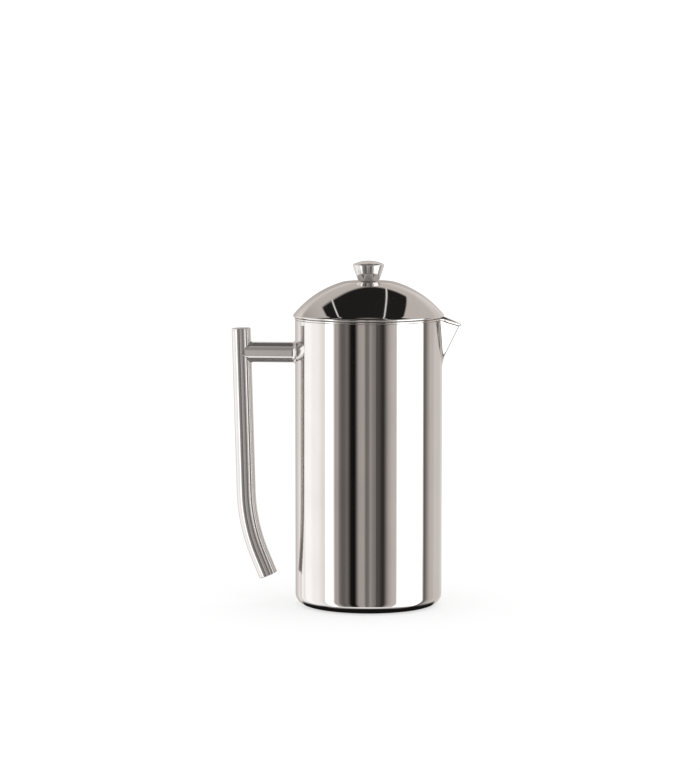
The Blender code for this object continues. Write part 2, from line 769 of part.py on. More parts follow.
def pierce(plate, name, low, high):
    """Cut a plate's outer and inner rings of round holes."""
    below = low - CUT_EXTRA
    above = high + CUT_EXTRA
    web = ring_places(WEB_HOLES, WEB_RING_RADIUS)
    hub = ring_places(HUB_HOLES, HUB_RING_RADIUS)
    outer = cylinders(name + "_web", web, WEB_HOLE_RADIUS, below, above, HOLE_FACETS)
    inner = cylinders(name + "_hub", hub, HUB_HOLE_RADIUS, below, above, HOLE_FACETS)
    combine(plate, add_cutter(outer), "DIFFERENCE")
    combine(plate, add_cutter(inner), "DIFFERENCE")


def add_spring_plate():
    """Upper plate whose edge is a channel, open outward, for the spring."""
    top = SPRING_PLATE_BASE + SPRING_PLATE_THICKNESS
    lip_radius = SPRING_OUTER - SPRING_COVER
    lip_top = CHANNEL_TOP + SPRING_PLATE_THICKNESS
    profile = [
        (CHANNEL_INSIDE, lip_top),
        (lip_radius, lip_top),
        (lip_radius, CHANNEL_TOP),
        (CHANNEL_RADIUS, CHANNEL_TOP),
        (CHANNEL_RADIUS, SPRING_PLATE_BASE),
        (THREAD_BORE, SPRING_PLATE_BASE),
        (THREAD_BORE, top),
        (CHANNEL_INSIDE, top),
    ]
    plate = add_part(turned("spring_plate", profile, POT_FACETS, ring=True), SATIN_STEEL)
    pierce(plate, "spring_plate", SPRING_PLATE_BASE, top)


def add_edge_spring():
    """Ring that the coiled spring fills round the plate's channel."""
    bpy.ops.mesh.primitive_torus_add(
        major_segments=POT_FACETS,
        minor_segments=SPRING_SIDES,
        major_radius=SPRING_RING_RADIUS,
        minor_radius=SPRING_COIL_RADIUS,
        location=(0.0, 0.0, SPRING_BASE + SPRING_COIL_RADIUS),
    )
    spring = bpy.context.object
    spring.name = "edge_spring"
    for collection in list(spring.users_collection):
        collection.objects.unlink(spring)
    shade(spring)
    add_part(spring, SPRING_STEEL)


def add_meshes():
    """Fine mesh with its upturned wiping edge, and the flat coarse mesh."""
    outer = SPRING_OUTER - SEAT_GAP
    inner = outer - MESH_THICKNESS
    top = FINE_MESH_BASE + MESH_THICKNESS
    edge_top = FINE_MESH_BASE + MESH_EDGE_HEIGHT
    fine = [
        (inner, edge_top),
        (outer, edge_top),
        (outer, FINE_MESH_BASE),
        (THREAD_BORE, FINE_MESH_BASE),
        (THREAD_BORE, top),
        (inner, top),
    ]
    add_part(turned("fine_mesh", fine, POT_FACETS, ring=True), MESH_STEEL)
    radius = CHANNEL_RADIUS
    coarse_top = COARSE_MESH_BASE + MESH_THICKNESS
    coarse = [
        (radius, coarse_top),
        (radius, COARSE_MESH_BASE),
        (THREAD_BORE, COARSE_MESH_BASE),
        (THREAD_BORE, coarse_top),
    ]
    add_part(turned("coarse_mesh", coarse, POT_FACETS, ring=True), MESH_STEEL)


def add_cross_plate():
    """Perforated lower plate that spreads the meshes."""
    radius = CROSS_PLATE_RADIUS
    top = CROSS_PLATE_BASE + CROSS_PLATE_THICKNESS
    profile = [
        (radius, top),
        (radius, CROSS_PLATE_BASE),
        (THREAD_BORE, CROSS_PLATE_BASE),
        (THREAD_BORE, top),
    ]
    plate = add_part(turned("cross_plate", profile, POT_FACETS, ring=True), SATIN_STEEL)
    pierce(plate, "cross_plate", CROSS_PLATE_BASE, top)


def add_pot():
    """The pot with its spout and handle."""
    notch = add_cutter(spout_wedge("spout_notch", SEAT_GAP))
    add_outer_shell(notch)
    add_inner_vessel(notch)
    add_base_plate()
    add_spout()
    add_post()
    add_grip()
    add_handle_caps()


def add_lid():
    """The lid with its bushing."""
    dome_inside = add_lid_dome()
    add_lid_sleeve()
    add_lid_liner()
    add_bushing(dome_inside)
    add_hex_nut(
        "bushing_nut",
        BUSHING_NUT_RADIUS,
        LINER_BASE - RUN_GAP - BUSHING_NUT_HEIGHT,
        BUSHING_NUT_HEIGHT,
        BUSHING_RADIUS + SEAT_GAP,
        SATIN_STEEL,
    )


def add_plunger():
    """The knob, the rod and the filter stack at the rod's end."""
    add_knob()
    add_rod()
    add_collar()
    add_spring_plate()
    add_edge_spring()
    add_meshes()
    add_cross_plate()
    add_hex_nut(
        "hub_nut",
        HUB_NUT_RADIUS,
        HUB_NUT_BASE,
        HUB_NUT_HEIGHT,
        THREAD_BORE,
        SATIN_STEEL,
    )


add_pot()
add_lid()
add_plunger()
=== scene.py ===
"""The finished look of a steel french press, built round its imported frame.

Every piece is modelled in metres at the place where its node sits in the frame:
+Z up, the spout to +X, the handle to -X, the origin on the table under the pot.
"""

import logging
import math
from dataclasses import dataclass
from enum import Enum
from typing import Optional, Sequence

import bmesh
import bpy
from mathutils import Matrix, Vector


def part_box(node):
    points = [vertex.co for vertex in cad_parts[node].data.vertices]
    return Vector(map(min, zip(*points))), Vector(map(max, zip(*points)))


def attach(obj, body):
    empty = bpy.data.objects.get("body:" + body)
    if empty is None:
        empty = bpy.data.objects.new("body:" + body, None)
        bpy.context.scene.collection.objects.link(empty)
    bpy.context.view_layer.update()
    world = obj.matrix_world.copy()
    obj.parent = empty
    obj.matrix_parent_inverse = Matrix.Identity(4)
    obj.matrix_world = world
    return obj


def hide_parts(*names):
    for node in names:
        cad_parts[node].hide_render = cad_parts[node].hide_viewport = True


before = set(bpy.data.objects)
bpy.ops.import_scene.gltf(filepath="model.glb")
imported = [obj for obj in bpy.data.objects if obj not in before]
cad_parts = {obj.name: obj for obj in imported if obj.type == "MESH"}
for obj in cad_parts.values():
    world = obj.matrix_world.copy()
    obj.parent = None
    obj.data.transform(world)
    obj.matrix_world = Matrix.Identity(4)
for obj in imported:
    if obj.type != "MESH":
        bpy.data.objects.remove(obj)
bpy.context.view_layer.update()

Point = tuple[float, float]
Edge = tuple[float, float]
Triple = tuple[float, float, float]
Object = bpy.types.Object
Material = bpy.types.Material
Tree = bpy.types.NodeTree
Node = bpy.types.Node
Socket = bpy.types.NodeSocket

LOG = logging.getLogger("french_press")

MM = 0.001
ROUND_STEPS = 192
SMALL_STEPS = 96
DOME_STEPS = 256
KNOB_STEPS = 160
SPOUT_STEPS = 84
REST_STEPS = 176
WELD = 0.002 * MM
CREASE = math.radians(32.0)

# The studio's front stands a little round from -Y towards +X.
FRONT_BEARING = math.radians(5.0)
FRONT = (math.sin(FRONT_BEARING), -math.cos(FRONT_BEARING), 0.0)
RIGHT = (math.cos(FRONT_BEARING), math.sin(FRONT_BEARING), 0.0)

# Sockets of a Mix node that mixes colours.
MIX_SHARE, MIX_FIRST, MIX_SECOND, MIX_RESULT = 0, 6, 7, 2
WHITE = (1.0, 1.0, 1.0, 1.0)


class Body(Enum):
    """Bodies of the frame that a piece can ride on."""

    CARAFE = "carafe"
    LID = "lid"
    BUSHING = "bushing"
    PLUNGER = "plunger"


class Slot(Enum):
    """Material slots of the record."""

    MIRROR = "mirror_steel"
    SATIN = "satin_steel"
    SPRING = "spring_steel"
    MESH = "mesh_steel"
    PLASTIC = "bushing_plastic"


# ------------------------------------------------------------ modelling tools


def deselect_all() -> None:
    """Deselects every object."""
    bpy.ops.object.select_all(action="DESELECT")


def activate(obj: Object) -> None:
    """Selects one object alone and makes it the active one."""
    deselect_all()
    obj.select_set(True)
    bpy.context.view_layer.objects.active = obj


def start_piece(name: str) -> Object:
    """Names the primitive that was just added and applies its place to its mesh."""
    obj = bpy.context.object
    obj.name = name
    bpy.ops.object.transform_apply(location=True, rotation=True, scale=True)
    return obj


def edit_all() -> None:
    """Enters edit mode with the whole mesh selected."""
    bpy.ops.object.mode_set(mode="EDIT")
    bpy.ops.mesh.select_all(action="SELECT")


def extrude_by(move: Sequence[float]) -> None:
    """Extrudes what is selected and moves it."""
    bpy.ops.mesh.extrude_region_move(TRANSFORM_OT_translate={"value": move})


def eased(share: float) -> float:
    """Share from 0 to 1 with a soft start and a soft end."""
    return share * share * (3.0 - 2.0 * share)


def arc(centre: Point, radius: float, start: float, end: float, steps: int) -> list[Point]:
    """Points on an arc.

    Args:
        centre: Centre as (radius, height).
        radius: Radius of the arc.
        start: First angle in degrees, 0 outward and 90 up.
        end: Last angle in degrees.
        steps: Number of equal steps.

    Returns:
        The points, both ends included.
    """
    points = []
    for step in range(steps + 1):
        angle = math.radians(start + (end - start) * step / steps)
        across = centre[0] + radius * math.cos(angle)
        points.append((across, centre[1] + radius * math.sin(angle)))
    return points


def line(start: Point, end: Point, steps: int) -> list[Point]:
    """Points in equal steps on a straight line, without its last point."""
    points = []
    for step in range(steps):
        share = step / steps
        across = start[0] + (end[0] - start[0]) * share
        points.append((across, start[1] + (end[1] - start[1]) * share))
    return points


def draw(name: str, points: Sequence[Point], closed: bool = False) -> Object:
    """Draws a line of edges in the XZ plane, one vertex extruded from the last.

    Args:
        name: Name of the new object, which stays in edit mode.
        points: The line's points as (radius, height).
        closed: Whether the line returns to its first point.

    Returns:
        The new object.
    """
    deselect_all()
    bpy.ops.mesh.primitive_plane_add(size=MM)
    obj = bpy.context.object
    obj.name = name
    obj.data.name = name
    edit_all()
    bpy.ops.mesh.merge(type="CENTER")
    bpy.ops.transform.translate(value=(points[0][0], 0.0, points[0][1]))
    route = list(points) + ([points[0]] if closed else [])
    for last, point in zip(route, route[1:]):
        step = (point[0] - last[0], 0.0, point[1] - last[1])
        bpy.ops.mesh.extrude_vertices_move(TRANSFORM_OT_translate={"value": step})
    bpy.ops.mesh.select_all(action="SELECT")
    return obj


def close_up() -> None:
    """Merges doubles and turns the faces outward, then leaves edit mode."""
    bpy.ops.mesh.select_all(action="SELECT")
    bpy.ops.mesh.remove_doubles(threshold=WELD)
    bpy.ops.mesh.normals_make_consistent(inside=False)
    bpy.ops.object.mode_set(mode="OBJECT")


def spin(angle: float, steps: int) -> None:
    """Spins the selected edges about the pot's axis by an angle in degrees."""
    bpy.ops.mesh.spin(
        steps=steps,
        angle=math.radians(angle),
        center=(0.0, 0.0, 0.0),
        axis=(0.0, 0.0, 1.0),
    )


def turn(
    name: str, points: Sequence[Point], steps: int = ROUND_STEPS, closed: bool = False
) -> Object:
    """Turns a profile about Z, as on a lathe.

    Args:
        name: Name of the new object.
        points: Profile as (radius, height).
        steps: Facets of the full turn.
        closed: Whether the profile is a loop clear of the axis.

    Returns:
        The turned object, with its faces outward.
    """
    obj = draw(name, points, closed)
    spin(360.0, steps)
    close_up()
    return obj


def apply_modifier(obj: Object, kind: str, **settings: object) -> None:
    """Adds a modifier to an object with the given settings and applies it."""
    activate(obj)
    modifier = obj.modifiers.new(kind.lower(), kind)
    for setting, value in settings.items():
        setattr(modifier, setting, value)
    bpy.ops.object.modifier_apply(modifier=modifier.name)


def cut(obj: Object, cutter: Object, operation: str = "DIFFERENCE") -> None:
    """Cuts one object with another and removes the cutter."""
    apply_modifier(obj, "BOOLEAN", operation=operation, solver="EXACT", object=cutter)
    bpy.data.objects.remove(cutter, do_unlink=True)


def ease_edges(obj: Object, width: float, angle: float) -> None:
    """Rounds a piece's edges that are sharper than an angle in degrees."""
    limit = {"limit_method": "ANGLE", "angle_limit": math.radians(angle)}
    apply_modifier(obj, "BEVEL", width=width, segments=2, **limit)


def pin(radius: float, low: float, high: float, place: Point = (0.0, 0.0)) -> Object:
    """Upright round cutter between two heights."""
    deselect_all()
    bpy.ops.mesh.primitive_cylinder_add(
        vertices=SMALL_STEPS // 2,
        radius=radius,
        depth=high - low,
        location=(place[0], place[1], (low + high) / 2),
    )
    return bpy.context.object


def put(obj: Object, place: Triple, tilt: float) -> None:
    """Moves an object, tilts it about Y in radians and applies both to its mesh."""
    activate(obj)
    obj.location = place
    obj.rotation_euler = (0.0, tilt, 0.0)
    bpy.ops.object.transform_apply(location=True, rotation=True, scale=True)


def smooth(obj: Object, crease: float) -> None:
    """Shades an object smooth, with crisp edges past an angle."""
    activate(obj)
    bpy.ops.object.shade_smooth_by_angle(angle=crease)


def fit(
    obj: Object, body: Body, slot: Slot, finish: Material, *nodes: str, crease: float = CREASE
) -> None:
    """Gives a finished piece its place in the frame.

    Args:
        obj: The piece, in place.
        body: Body that it rides on.
        slot: Record slot that its finish comes from; not used.
        finish: Its material.
        nodes: Frame nodes that it stands for.
        crease: Angle past which its edges look crisp, in radians.
    """
    smooth(obj, crease)
    obj.data.materials.clear()
    obj.data.materials.append(finish)
    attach(obj, body.value)
    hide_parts(*nodes)
    LOG.info("%s: %d faces, stands for %s", obj.name, len(obj.data.polygons), nodes)


def hex_nut(name: str, radius: float, low: float, high: float, bore: float) -> Object:
    """Six-sided nut with a round bore and corners turned off above and below.

    Args:
        name: Name of the new object.
        radius: Radius to the corners.
        low: Height of its lower face.
        high: Height of its upper face.
        bore: Radius of its hole.

    Returns:
        The nut.
    """
    deselect_all()
    bpy.ops.mesh.primitive_cylinder_add(
        vertices=6, radius=radius, depth=high - low, location=(0.0, 0.0, (low + high) / 2)
    )
    nut = start_piece(name)
    slope = 0.58
    flat = radius * math.cos(math.pi / 6)
    off = (radius - flat) * slope
    chamfer = [(0.0, high), (flat, high), (radius + MM, high - off - MM * slope)]
    chamfer += [(radius + MM, low + off + MM * slope), (flat, low), (0.0, low)]
    barrel = turn("nut_barrel", chamfer, SMALL_STEPS)
    cut(nut, barrel, operation="INTERSECT")
    ease = 0.3 * MM
    hole = [(0.0, high + MM), (bore + ease + MM, high + MM), (bore, high - ease)]
    hole += [(bore, low + ease), (bore + ease + MM, low - MM), (0.0, low - MM)]
    cut(nut, turn("nut_hole", hole, SMALL_STEPS))
    ease_edges(nut, 0.12 * MM, 30.0)
    return nut


@dataclass(frozen=True)
class Extent:
    """Lowest and highest corner of a frame node."""

    low: Vector
    high: Vector

    @classmethod
    def of(cls, node: str) -> "Extent":
        """Extent of a named node at rest."""
        low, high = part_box(node)
        return cls(Vector(low), Vector(high))

    @property
    def radius(self) -> float:
        """Radius of a node turned about the pot's axis."""
        return -self.low.x

    @property
    def widest(self) -> float:
        """Radius to the corners of a six-sided node."""
        return max(self.radius, self.high.x)

    @property
    def base(self) -> float:
        """Height of the node's lowest point."""
        return self.low.z

    @property
    def top(self) -> float:
        """Height of the node's highest point."""
        return self.high.z


def extents(*nodes: str) -> list[Extent]:
    """Extents of several named nodes."""
    return [Extent.of(node) for node in nodes]


# ------------------------------------------------------------------- finishes


class Graph:
    """Nodes of a material, a world or a group, added and joined in one call."""

    def __init__(self, tree: Tree) -> None:
        """Takes the node tree to work in."""
        self.tree = tree

    def join(self, node: Node, links: dict[object, object]) -> None:
        """Gives a node's inputs, by name or index, their values or output sockets."""
        for key, value in links.items():
            if isinstance(value, bpy.types.NodeSocket):
                self.tree.links.new(value, node.inputs[key])
            else:
                node.inputs[key].default_value = value

    def add(
        self, kind: str, links: Optional[dict[object, object]] = None, **settings: object
    ) -> Node:
        """Adds a node.

        Args:
            kind: Node type, without its ShaderNode prefix.
            links: Values or output sockets for the node's inputs, by name or index.
            settings: The node's own settings.

        Returns:
            The new node.
        """
        node = self.tree.nodes.new("ShaderNode" + kind)
        for setting, value in settings.items():
            setattr(node, setting, value)
        self.join(node, links or {})
        return node

    def math(self, operation: str, *values: object) -> Socket:
        """Result of a Math node on values or sockets."""
        return self.add("Math", dict(enumerate(values)), operation=operation).outputs[0]

    def along(self, vector: Socket, direction: Triple) -> Socket:
        """How far a vector goes in a direction."""
        links = {0: vector, 1: direction}
        return self.add("VectorMath", links, operation="DOT_PRODUCT").outputs["Value"]

    def noise(self, place: Socket, scale: object, detail: float, roughness: float = 0.5) -> Socket:
        """Noise in three dimensions, or in one where the place is a single value."""
        single = place.type == "VALUE"
        links = {"W" if single else "Vector": place, "Scale": scale}
        links.update({"Detail": detail, "Roughness": roughness})
        dimensions = "1D" if single else "3D"
        return self.add("TexNoise", links, noise_dimensions=dimensions).outputs[0]

    def ramp(
        self, value: Socket, start: float, end: float, low: float = 0.0, high: float = 1.0
    ) -> Socket:
        """Value smoothed from one range onto another."""
        links = {"Value": value, "From Min": start, "From Max": end, "To Min": low, "To Max": high}
        return self.add("MapRange", links, interpolation_type="SMOOTHSTEP").outputs[0]

    def between(self, value: Socket, low: float, high: float, soft: float) -> Socket:
        """Mask that is 1 from low to high and falls off over a soft edge."""
        rise = self.ramp(value, low - soft, low + soft)
        fall = self.ramp(value, high + soft, high - soft)
        return self.math("MULTIPLY", rise, fall)

    def mix(self, share: Socket, first: object, second: object) -> Socket:
        """Mix of two colours."""
        links = {MIX_SHARE: share, MIX_FIRST: first, MIX_SECOND: second}
        return self.add("Mix", links, data_type="RGBA").outputs[MIX_RESULT]

    def by_ray(self, seen: Node, mirrored: Node) -> Node:
        """Mix of two shaders: one for plain sight, one for what steel mirrors."""
        share = self.add("LightPath").outputs["Is Glossy Ray"]
        return self.add("MixShader", {0: share, 1: seen.outputs[0], 2: mirrored.outputs[0]})


def new_group(
    name: str, values: dict[str, float], outputs: Sequence[str]
) -> tuple[Graph, Node, Node]:
    """Empty shader node group.

    Args:
        name: Name of the group.
        values: Its value inputs with their defaults; it also has a Vector input.
        outputs: Names of its value outputs.

    Returns:
        The group's graph, its input node and its output node.
    """
    group = bpy.data.node_groups.new(name, "ShaderNodeTree")
    group.interface.new_socket("Vector", in_out="INPUT", socket_type="NodeSocketVector")
    for key, value in values.items():
        socket = group.interface.new_socket(key, in_out="INPUT", socket_type="NodeSocketFloat")
        socket.default_value = value
    for key in outputs:
        group.interface.new_socket(key, in_out="OUTPUT", socket_type="NodeSocketFloat")
    source = group.nodes.new("NodeGroupInput")
    sink = group.nodes.new("NodeGroupOutput")
    return Graph(group), source, sink


def make_hand_marks() -> Tree:
    """Group for what hands and cloths leave on polished metal: haze and fine hairlines."""
    values = {"Haze Scale": 22.0, "Hairline Scale": 260.0}
    graph, source, sink = new_group("hand_marks", values, ("Haze", "Hairline"))
    place = source.outputs["Vector"]
    haze_range, hairline_range = (0.42, 0.72), (0.52, 0.66)
    drawn_out = (1.0, 1.0, 0.06)
    haze = graph.noise(place, source.outputs["Haze Scale"], detail=5.0)
    drawn = graph.add("Mapping", {"Vector": place, "Scale": drawn_out}).outputs[0]
    hair = graph.noise(drawn, source.outputs["Hairline Scale"], detail=6.0, roughness=0.7)
    marks = {"Haze": graph.ramp(haze, *haze_range), "Hairline": graph.ramp(hair, *hairline_range)}
    graph.join(sink, marks)
    return graph.tree


def make_turned_lines() -> Tree:
    """Group for the fine rings that turning or brushing leaves round an axis."""
    graph, source, sink = new_group("turned_lines", {"Lines": 1800.0}, ("Line", "Drift"))
    place = source.outputs["Vector"]
    line_range, drift_range, drift_scale = (0.3, 0.7), (0.35, 0.7), 30.0
    parts = graph.add("SeparateXYZ", {0: place})
    square_x = graph.math("MULTIPLY", parts.outputs[0], parts.outputs[0])
    square_y = graph.math("MULTIPLY", parts.outputs[1], parts.outputs[1])
    reach = graph.math("SQRT", graph.math("ADD", square_x, square_y))
    along = graph.math("ADD", reach, parts.outputs[2])
    lines = graph.noise(along, source.outputs["Lines"], detail=3.0, roughness=0.65)
    drift = graph.noise(place, drift_scale, detail=3.0)
    graph.join(sink, {"Line": graph.ramp(lines, *line_range)})
    graph.join(sink, {"Drift": graph.ramp(drift, *drift_range)})
    return graph.tree


def make_weave() -> Tree:
    """Group for plain-woven wire: height of the wires, and a mask for the painted shade in the
    open holes between them.
    """
    graph, source, sink = new_group("weave", {"Pitch": 0.5 * MM}, ("Height", "Hole Shade"))
    crossing, hole_shade_range, sunk = (-0.4, 0.4), (0.5, 0.3), 0.55
    parts = graph.add("SeparateXYZ", {0: source.outputs["Vector"]})
    turns = graph.math("DIVIDE", math.pi, source.outputs["Pitch"])
    phase_x = graph.math("MULTIPLY", parts.outputs[0], turns)
    phase_y = graph.math("MULTIPLY", parts.outputs[1], turns)
    wire_x = graph.math("ABSOLUTE", graph.math("SINE", phase_x))
    wire_y = graph.math("ABSOLUTE", graph.math("SINE", phase_y))
    over = graph.math("MULTIPLY", graph.math("COSINE", phase_x), graph.math("COSINE", phase_y))
    lift_x = graph.math("MULTIPLY", wire_x, graph.ramp(over, *crossing, sunk, 1.0))
    lift_y = graph.math("MULTIPLY", wire_y, graph.ramp(over, *crossing, 1.0, sunk))
    height = graph.math("MAXIMUM", lift_x, lift_y)
    # The hole mask is where painted shade fills the open holes between the wires.
    graph.join(sink, {"Height": height, "Hole Shade": graph.ramp(height, *hole_shade_range)})
    return graph.tree


@dataclass(frozen=True)
class Groups:
    """Shader groups that the finishes share."""

    hand_marks: Tree
    turned_lines: Tree
    weave: Tree

    @classmethod
    def build(cls) -> "Groups":
        """Builds every group once."""
        return cls(make_hand_marks(), make_turned_lines(), make_weave())


@dataclass(frozen=True)
class Finish:
    """What every finish has: two colours and a roughness that a mask mixes, and a relief."""

    groups: Groups
    name: str
    colour: Triple
    # Second colour: the marks' colour on most finishes, the painted shade in the holes of wire
    # cloth.
    marked_and_shaded: Triple
    roughness: float
    spread: float
    relief: float
    depth: float
    metallic: float = 1.0

    def marks(self, graph: Graph, place: Socket) -> tuple[Socket, Socket]:
        """Mask between the two colours, and height of the relief."""
        raise NotImplementedError

    def material(self) -> Material:
        """Builds the material on object coordinates."""
        material = bpy.data.materials.new(self.name)
        material.use_nodes = True
        graph = Graph(material.node_tree)
        shader = material.node_tree.nodes["Principled BSDF"]
        mask, height = self.marks(graph, graph.add("TexCoord").outputs["Object"])
        colour = graph.mix(mask, (*self.colour, 1.0), (*self.marked_and_shaded, 1.0))
        rough = graph.math("MULTIPLY_ADD", mask, self.spread, self.roughness)
        relief = {"Height": height, "Strength": self.relief, "Distance": self.depth}
        bump = graph.add("Bump", relief).outputs[0]
        graph.join(shader, {"Base Color": colour, "Roughness": rough, "Normal": bump})
        shader.inputs["Metallic"].default_value = self.metallic
        return material


@dataclass(frozen=True)
class HandMarked(Finish):
    """Finish that hands and cloths have left a little haze and a few hairlines on."""

    haze_scale: float = 24.0
    hairline_scale: float = 320.0

    def marks(self, graph: Graph, place: Socket) -> tuple[Socket, Socket]:
        """Haze for the mask, hairlines for the relief."""
        links = {"Vector": place}
        links.update({"Haze Scale": self.haze_scale, "Hairline Scale": self.hairline_scale})
        marks = graph.add("Group", links, node_tree=self.groups.hand_marks)
        return marks.outputs["Haze"], marks.outputs["Hairline"]


@dataclass(frozen=True)
class MirrorSteel(HandMarked):
    """Steel buffed to a mirror."""

    name: str = "mirror_steel_finish"
    colour: Triple = (0.722, 0.705, 0.692)
    marked_and_shaded: Triple = (0.690, 0.674, 0.662)
    roughness: float = 0.025
    spread: float = 0.030
    relief: float = 0.25
    depth: float = 0.0015 * MM


@dataclass(frozen=True)
class MouldedPlastic(HandMarked):
    """Black nylon with the fine grain of its mould."""

    name: str = "moulded_nylon"
    colour: Triple = (0.045, 0.045, 0.047)
    marked_and_shaded: Triple = (0.10, 0.10, 0.10)
    roughness: float = 0.42
    spread: float = 0.15
    relief: float = 0.4
    depth: float = 0.02 * MM
    metallic: float = 0.0
    haze_scale: float = 180.0
    hairline_scale: float = 900.0


@dataclass(frozen=True)
class BrushedSteel(Finish):
    """Steel with a satin brushed or turned surface."""

    colour: Triple = (0.66, 0.64, 0.62)
    marked_and_shaded: Triple = (0.56, 0.545, 0.53)
    roughness: float = 0.22
    spread: float = 0.14
    relief: float = 0.5
    depth: float = 0.010 * MM
    lines: float = 1800.0

    def marks(self, graph: Graph, place: Socket) -> tuple[Socket, Socket]:
        """Lines and their drift for the mask, lines for the relief."""
        links = {"Vector": place, "Lines": self.lines}
        rings = graph.add("Group", links, node_tree=self.groups.turned_lines)
        fine, drift = rings.outputs["Line"], rings.outputs["Drift"]
        return graph.math("MULTIPLY", graph.math("ADD", fine, drift), 0.5), fine


@dataclass(frozen=True)
class WovenWire(Finish):
    """Plain-woven steel wire cloth, whose relief is half its pitch deep."""

    colour: Triple = (0.60, 0.59, 0.57)
    # Painted shade: the open holes between the wires are coloured near black for the shade seen
    # through them.
    marked_and_shaded: Triple = (0.10, 0.10, 0.10)
    roughness: float = 0.32
    spread: float = 0.35
    relief: float = 1.0
    depth: float = 0.25 * MM

    def marks(self, graph: Graph, place: Socket) -> tuple[Socket, Socket]:
        """Painted shade in the open holes for the mask, wires for the relief."""
        links = {"Vector": place, "Pitch": 2 * self.depth}
        weave = graph.add("Group", links, node_tree=self.groups.weave)
        return weave.outputs["Hole Shade"], weave.outputs["Height"]


@dataclass(frozen=True)
class Finishes:
    """Every finish of the press, as materials."""

    mirror: Material
    drawn: Material
    brushed: Material
    turned: Material
    spring: Material
    fine_cloth: Material
    coarse_cloth: Material
    nylon: Material

    @classmethod
    def build(cls) -> "Finishes":
        """Builds the shared groups and then each material."""
        groups = Groups.build()
        finishes = (
            MirrorSteel(groups),
            MirrorSteel(groups, "drawn_steel_finish", roughness=0.07, metallic=0.86),
            BrushedSteel(groups, "brushed_steel_finish", roughness=0.24),
            BrushedSteel(
                groups, "turned_steel_finish", roughness=0.16, depth=0.006 * MM, lines=2600.0
            ),
            BrushedSteel(groups, "spring_wire_finish", (0.62, 0.60, 0.58), roughness=0.18),
            WovenWire(groups, "fine_wire_cloth", depth=0.175 * MM),
            WovenWire(groups, "coarse_wire_cloth", depth=0.55 * MM),
            MouldedPlastic(groups),
        )
        return cls(*(finish.material() for finish in finishes))


# ------------------------------------------------------------------------ pot


@dataclass(frozen=True)
class Spout:
    """Folded V that the pot's wall is drawn out into, above where its fold starts."""

    outer: float
    inner: float
    rim: float
    drop: float = 31.7 * MM
    lean: float = math.radians(26.0)
    half_angle: float = math.radians(30.0)
    fold_out: float = 0.75
    fold_round: float = 1.8 * MM
    edge_slope: float = math.radians(20.0)
    level_reach: float = 52.4 * MM
    level_round: float = 0.4 * MM
    wall: float = 1.5 * MM
    blend: float = 3.0 * MM
    reach_height: float = 50.0 * MM
    sector: float = math.radians(25.0)
    gather: float = 1.6
    still: float = 0.25
    stand_run: float = 6.0 * MM
    lip_growth: float = 2.0
    lip_stretch: float = 0.45
    lip_run: float = 4.0 * MM
    nudge: float = 0.0005
    rounds: int = 8

    @property
    def start(self) -> float:
        """Height above which the wall can be drawn out."""
        return self.rim - self.reach_height

    def side(self, angle: float, height: float, inset: float) -> float:
        """Distance from the axis to the V's side, seen at an angle from the spout."""
        apex = self.outer + (height - self.rim + self.drop) * math.tan(self.lean)
        apex -= inset / math.sin(self.half_angle)
        apex += self.fold_out * self.fold_round / math.tan(self.half_angle)
        apex = max(apex, self.inner / 2)
        sine = math.hypot(math.sin(angle), self.fold_round / apex)
        return apex / (math.cos(angle) + sine / math.tan(self.half_angle))

    def wall_reach(self, angle: float, height: float, share: float) -> float:
        """Distance from the axis to the drawn wall.

        Args:
            angle: Angle from the spout's middle, in radians.
            height: Height above the table.
            share: 0 for the inner wall, 1 for the outer wall.
        """
        circle = self.inner + (self.outer - self.inner) * share
        side = self.side(angle, height, self.wall * (1.0 - share))
        overlap = max(self.blend - abs(circle - side), 0.0) / self.blend
        return max(circle, side) + overlap * overlap * self.blend / 4

    def edge_height(self, angle: float, share: float) -> float:
        """Height of the pot's upper edge at an angle, level and then falling to the tip."""
        height = self.rim
        for _ in range(self.rounds):
            past = self.wall_reach(angle, height, share) * math.cos(angle) - self.level_reach
            past = (past + math.hypot(past, self.level_round)) / 2
            height = self.rim - past * math.tan(self.edge_slope)
        return height

    def standing_out(self, angle: float) -> float:
        """How far the spout has left the round wall at an angle, 0 to 1."""
        out = (self.wall_reach(angle, self.rim, 1.0) - self.outer) / self.stand_run
        return eased(min(max(out, 0.0), 1.0))

    def place(self, point: Vector) -> Vector:
        """Where a point of the plain round pot goes."""
        angle = math.atan2(point.y, point.x)
        reach = math.hypot(point.x, point.y)
        if abs(angle) > self.sector or reach < self.inner * self.still:
            return point
        angle = math.copysign(self.sector * (abs(angle) / self.sector) ** self.gather, angle)
        if point.z < self.start or reach < self.inner - MM:
            return Vector((reach * math.cos(angle), reach * math.sin(angle), point.z))
        share = (reach - self.inner) / (self.outer - self.inner)
        share = min(max(share, 0.0), 1.0)
        extra = reach - (self.inner + (self.outer - self.inner) * share)
        stand = self.standing_out(angle)
        extra *= 1.0 + self.lip_growth * stand
        edge = self.edge_height(angle, share)
        depth = self.rim - point.z
        scale = (edge - self.start) / self.reach_height
        stretch = self.lip_stretch * stand * math.exp(-depth / self.lip_run)
        height = edge - depth * (scale + stretch)
        here = self.wall_reach(angle, height, share)
        outward = self.outward(angle, height, share)
        return Vector(
            (
                here * math.cos(angle) + outward.x * extra,
                here * math.sin(angle) + outward.y * extra,
                height,
            )
        )

    def outward(self, angle: float, height: float, share: float) -> Vector:
        """Level direction square to the drawn wall at an angle."""
        before, after = angle - self.nudge, angle + self.nudge
        behind = self.wall_reach(before, height, share)
        ahead = self.wall_reach(after, height, share)
        across = ahead * math.cos(after) - behind * math.cos(before)
        along = ahead * math.sin(after) - behind * math.sin(before)
        return Vector((along, -across)).normalized()

    def draw_out(self, obj: Object) -> None:
        """Moves every vertex of a plain round pot piece to the drawn shape."""
        for vertex in obj.data.vertices:
            vertex.co = self.place(vertex.co)


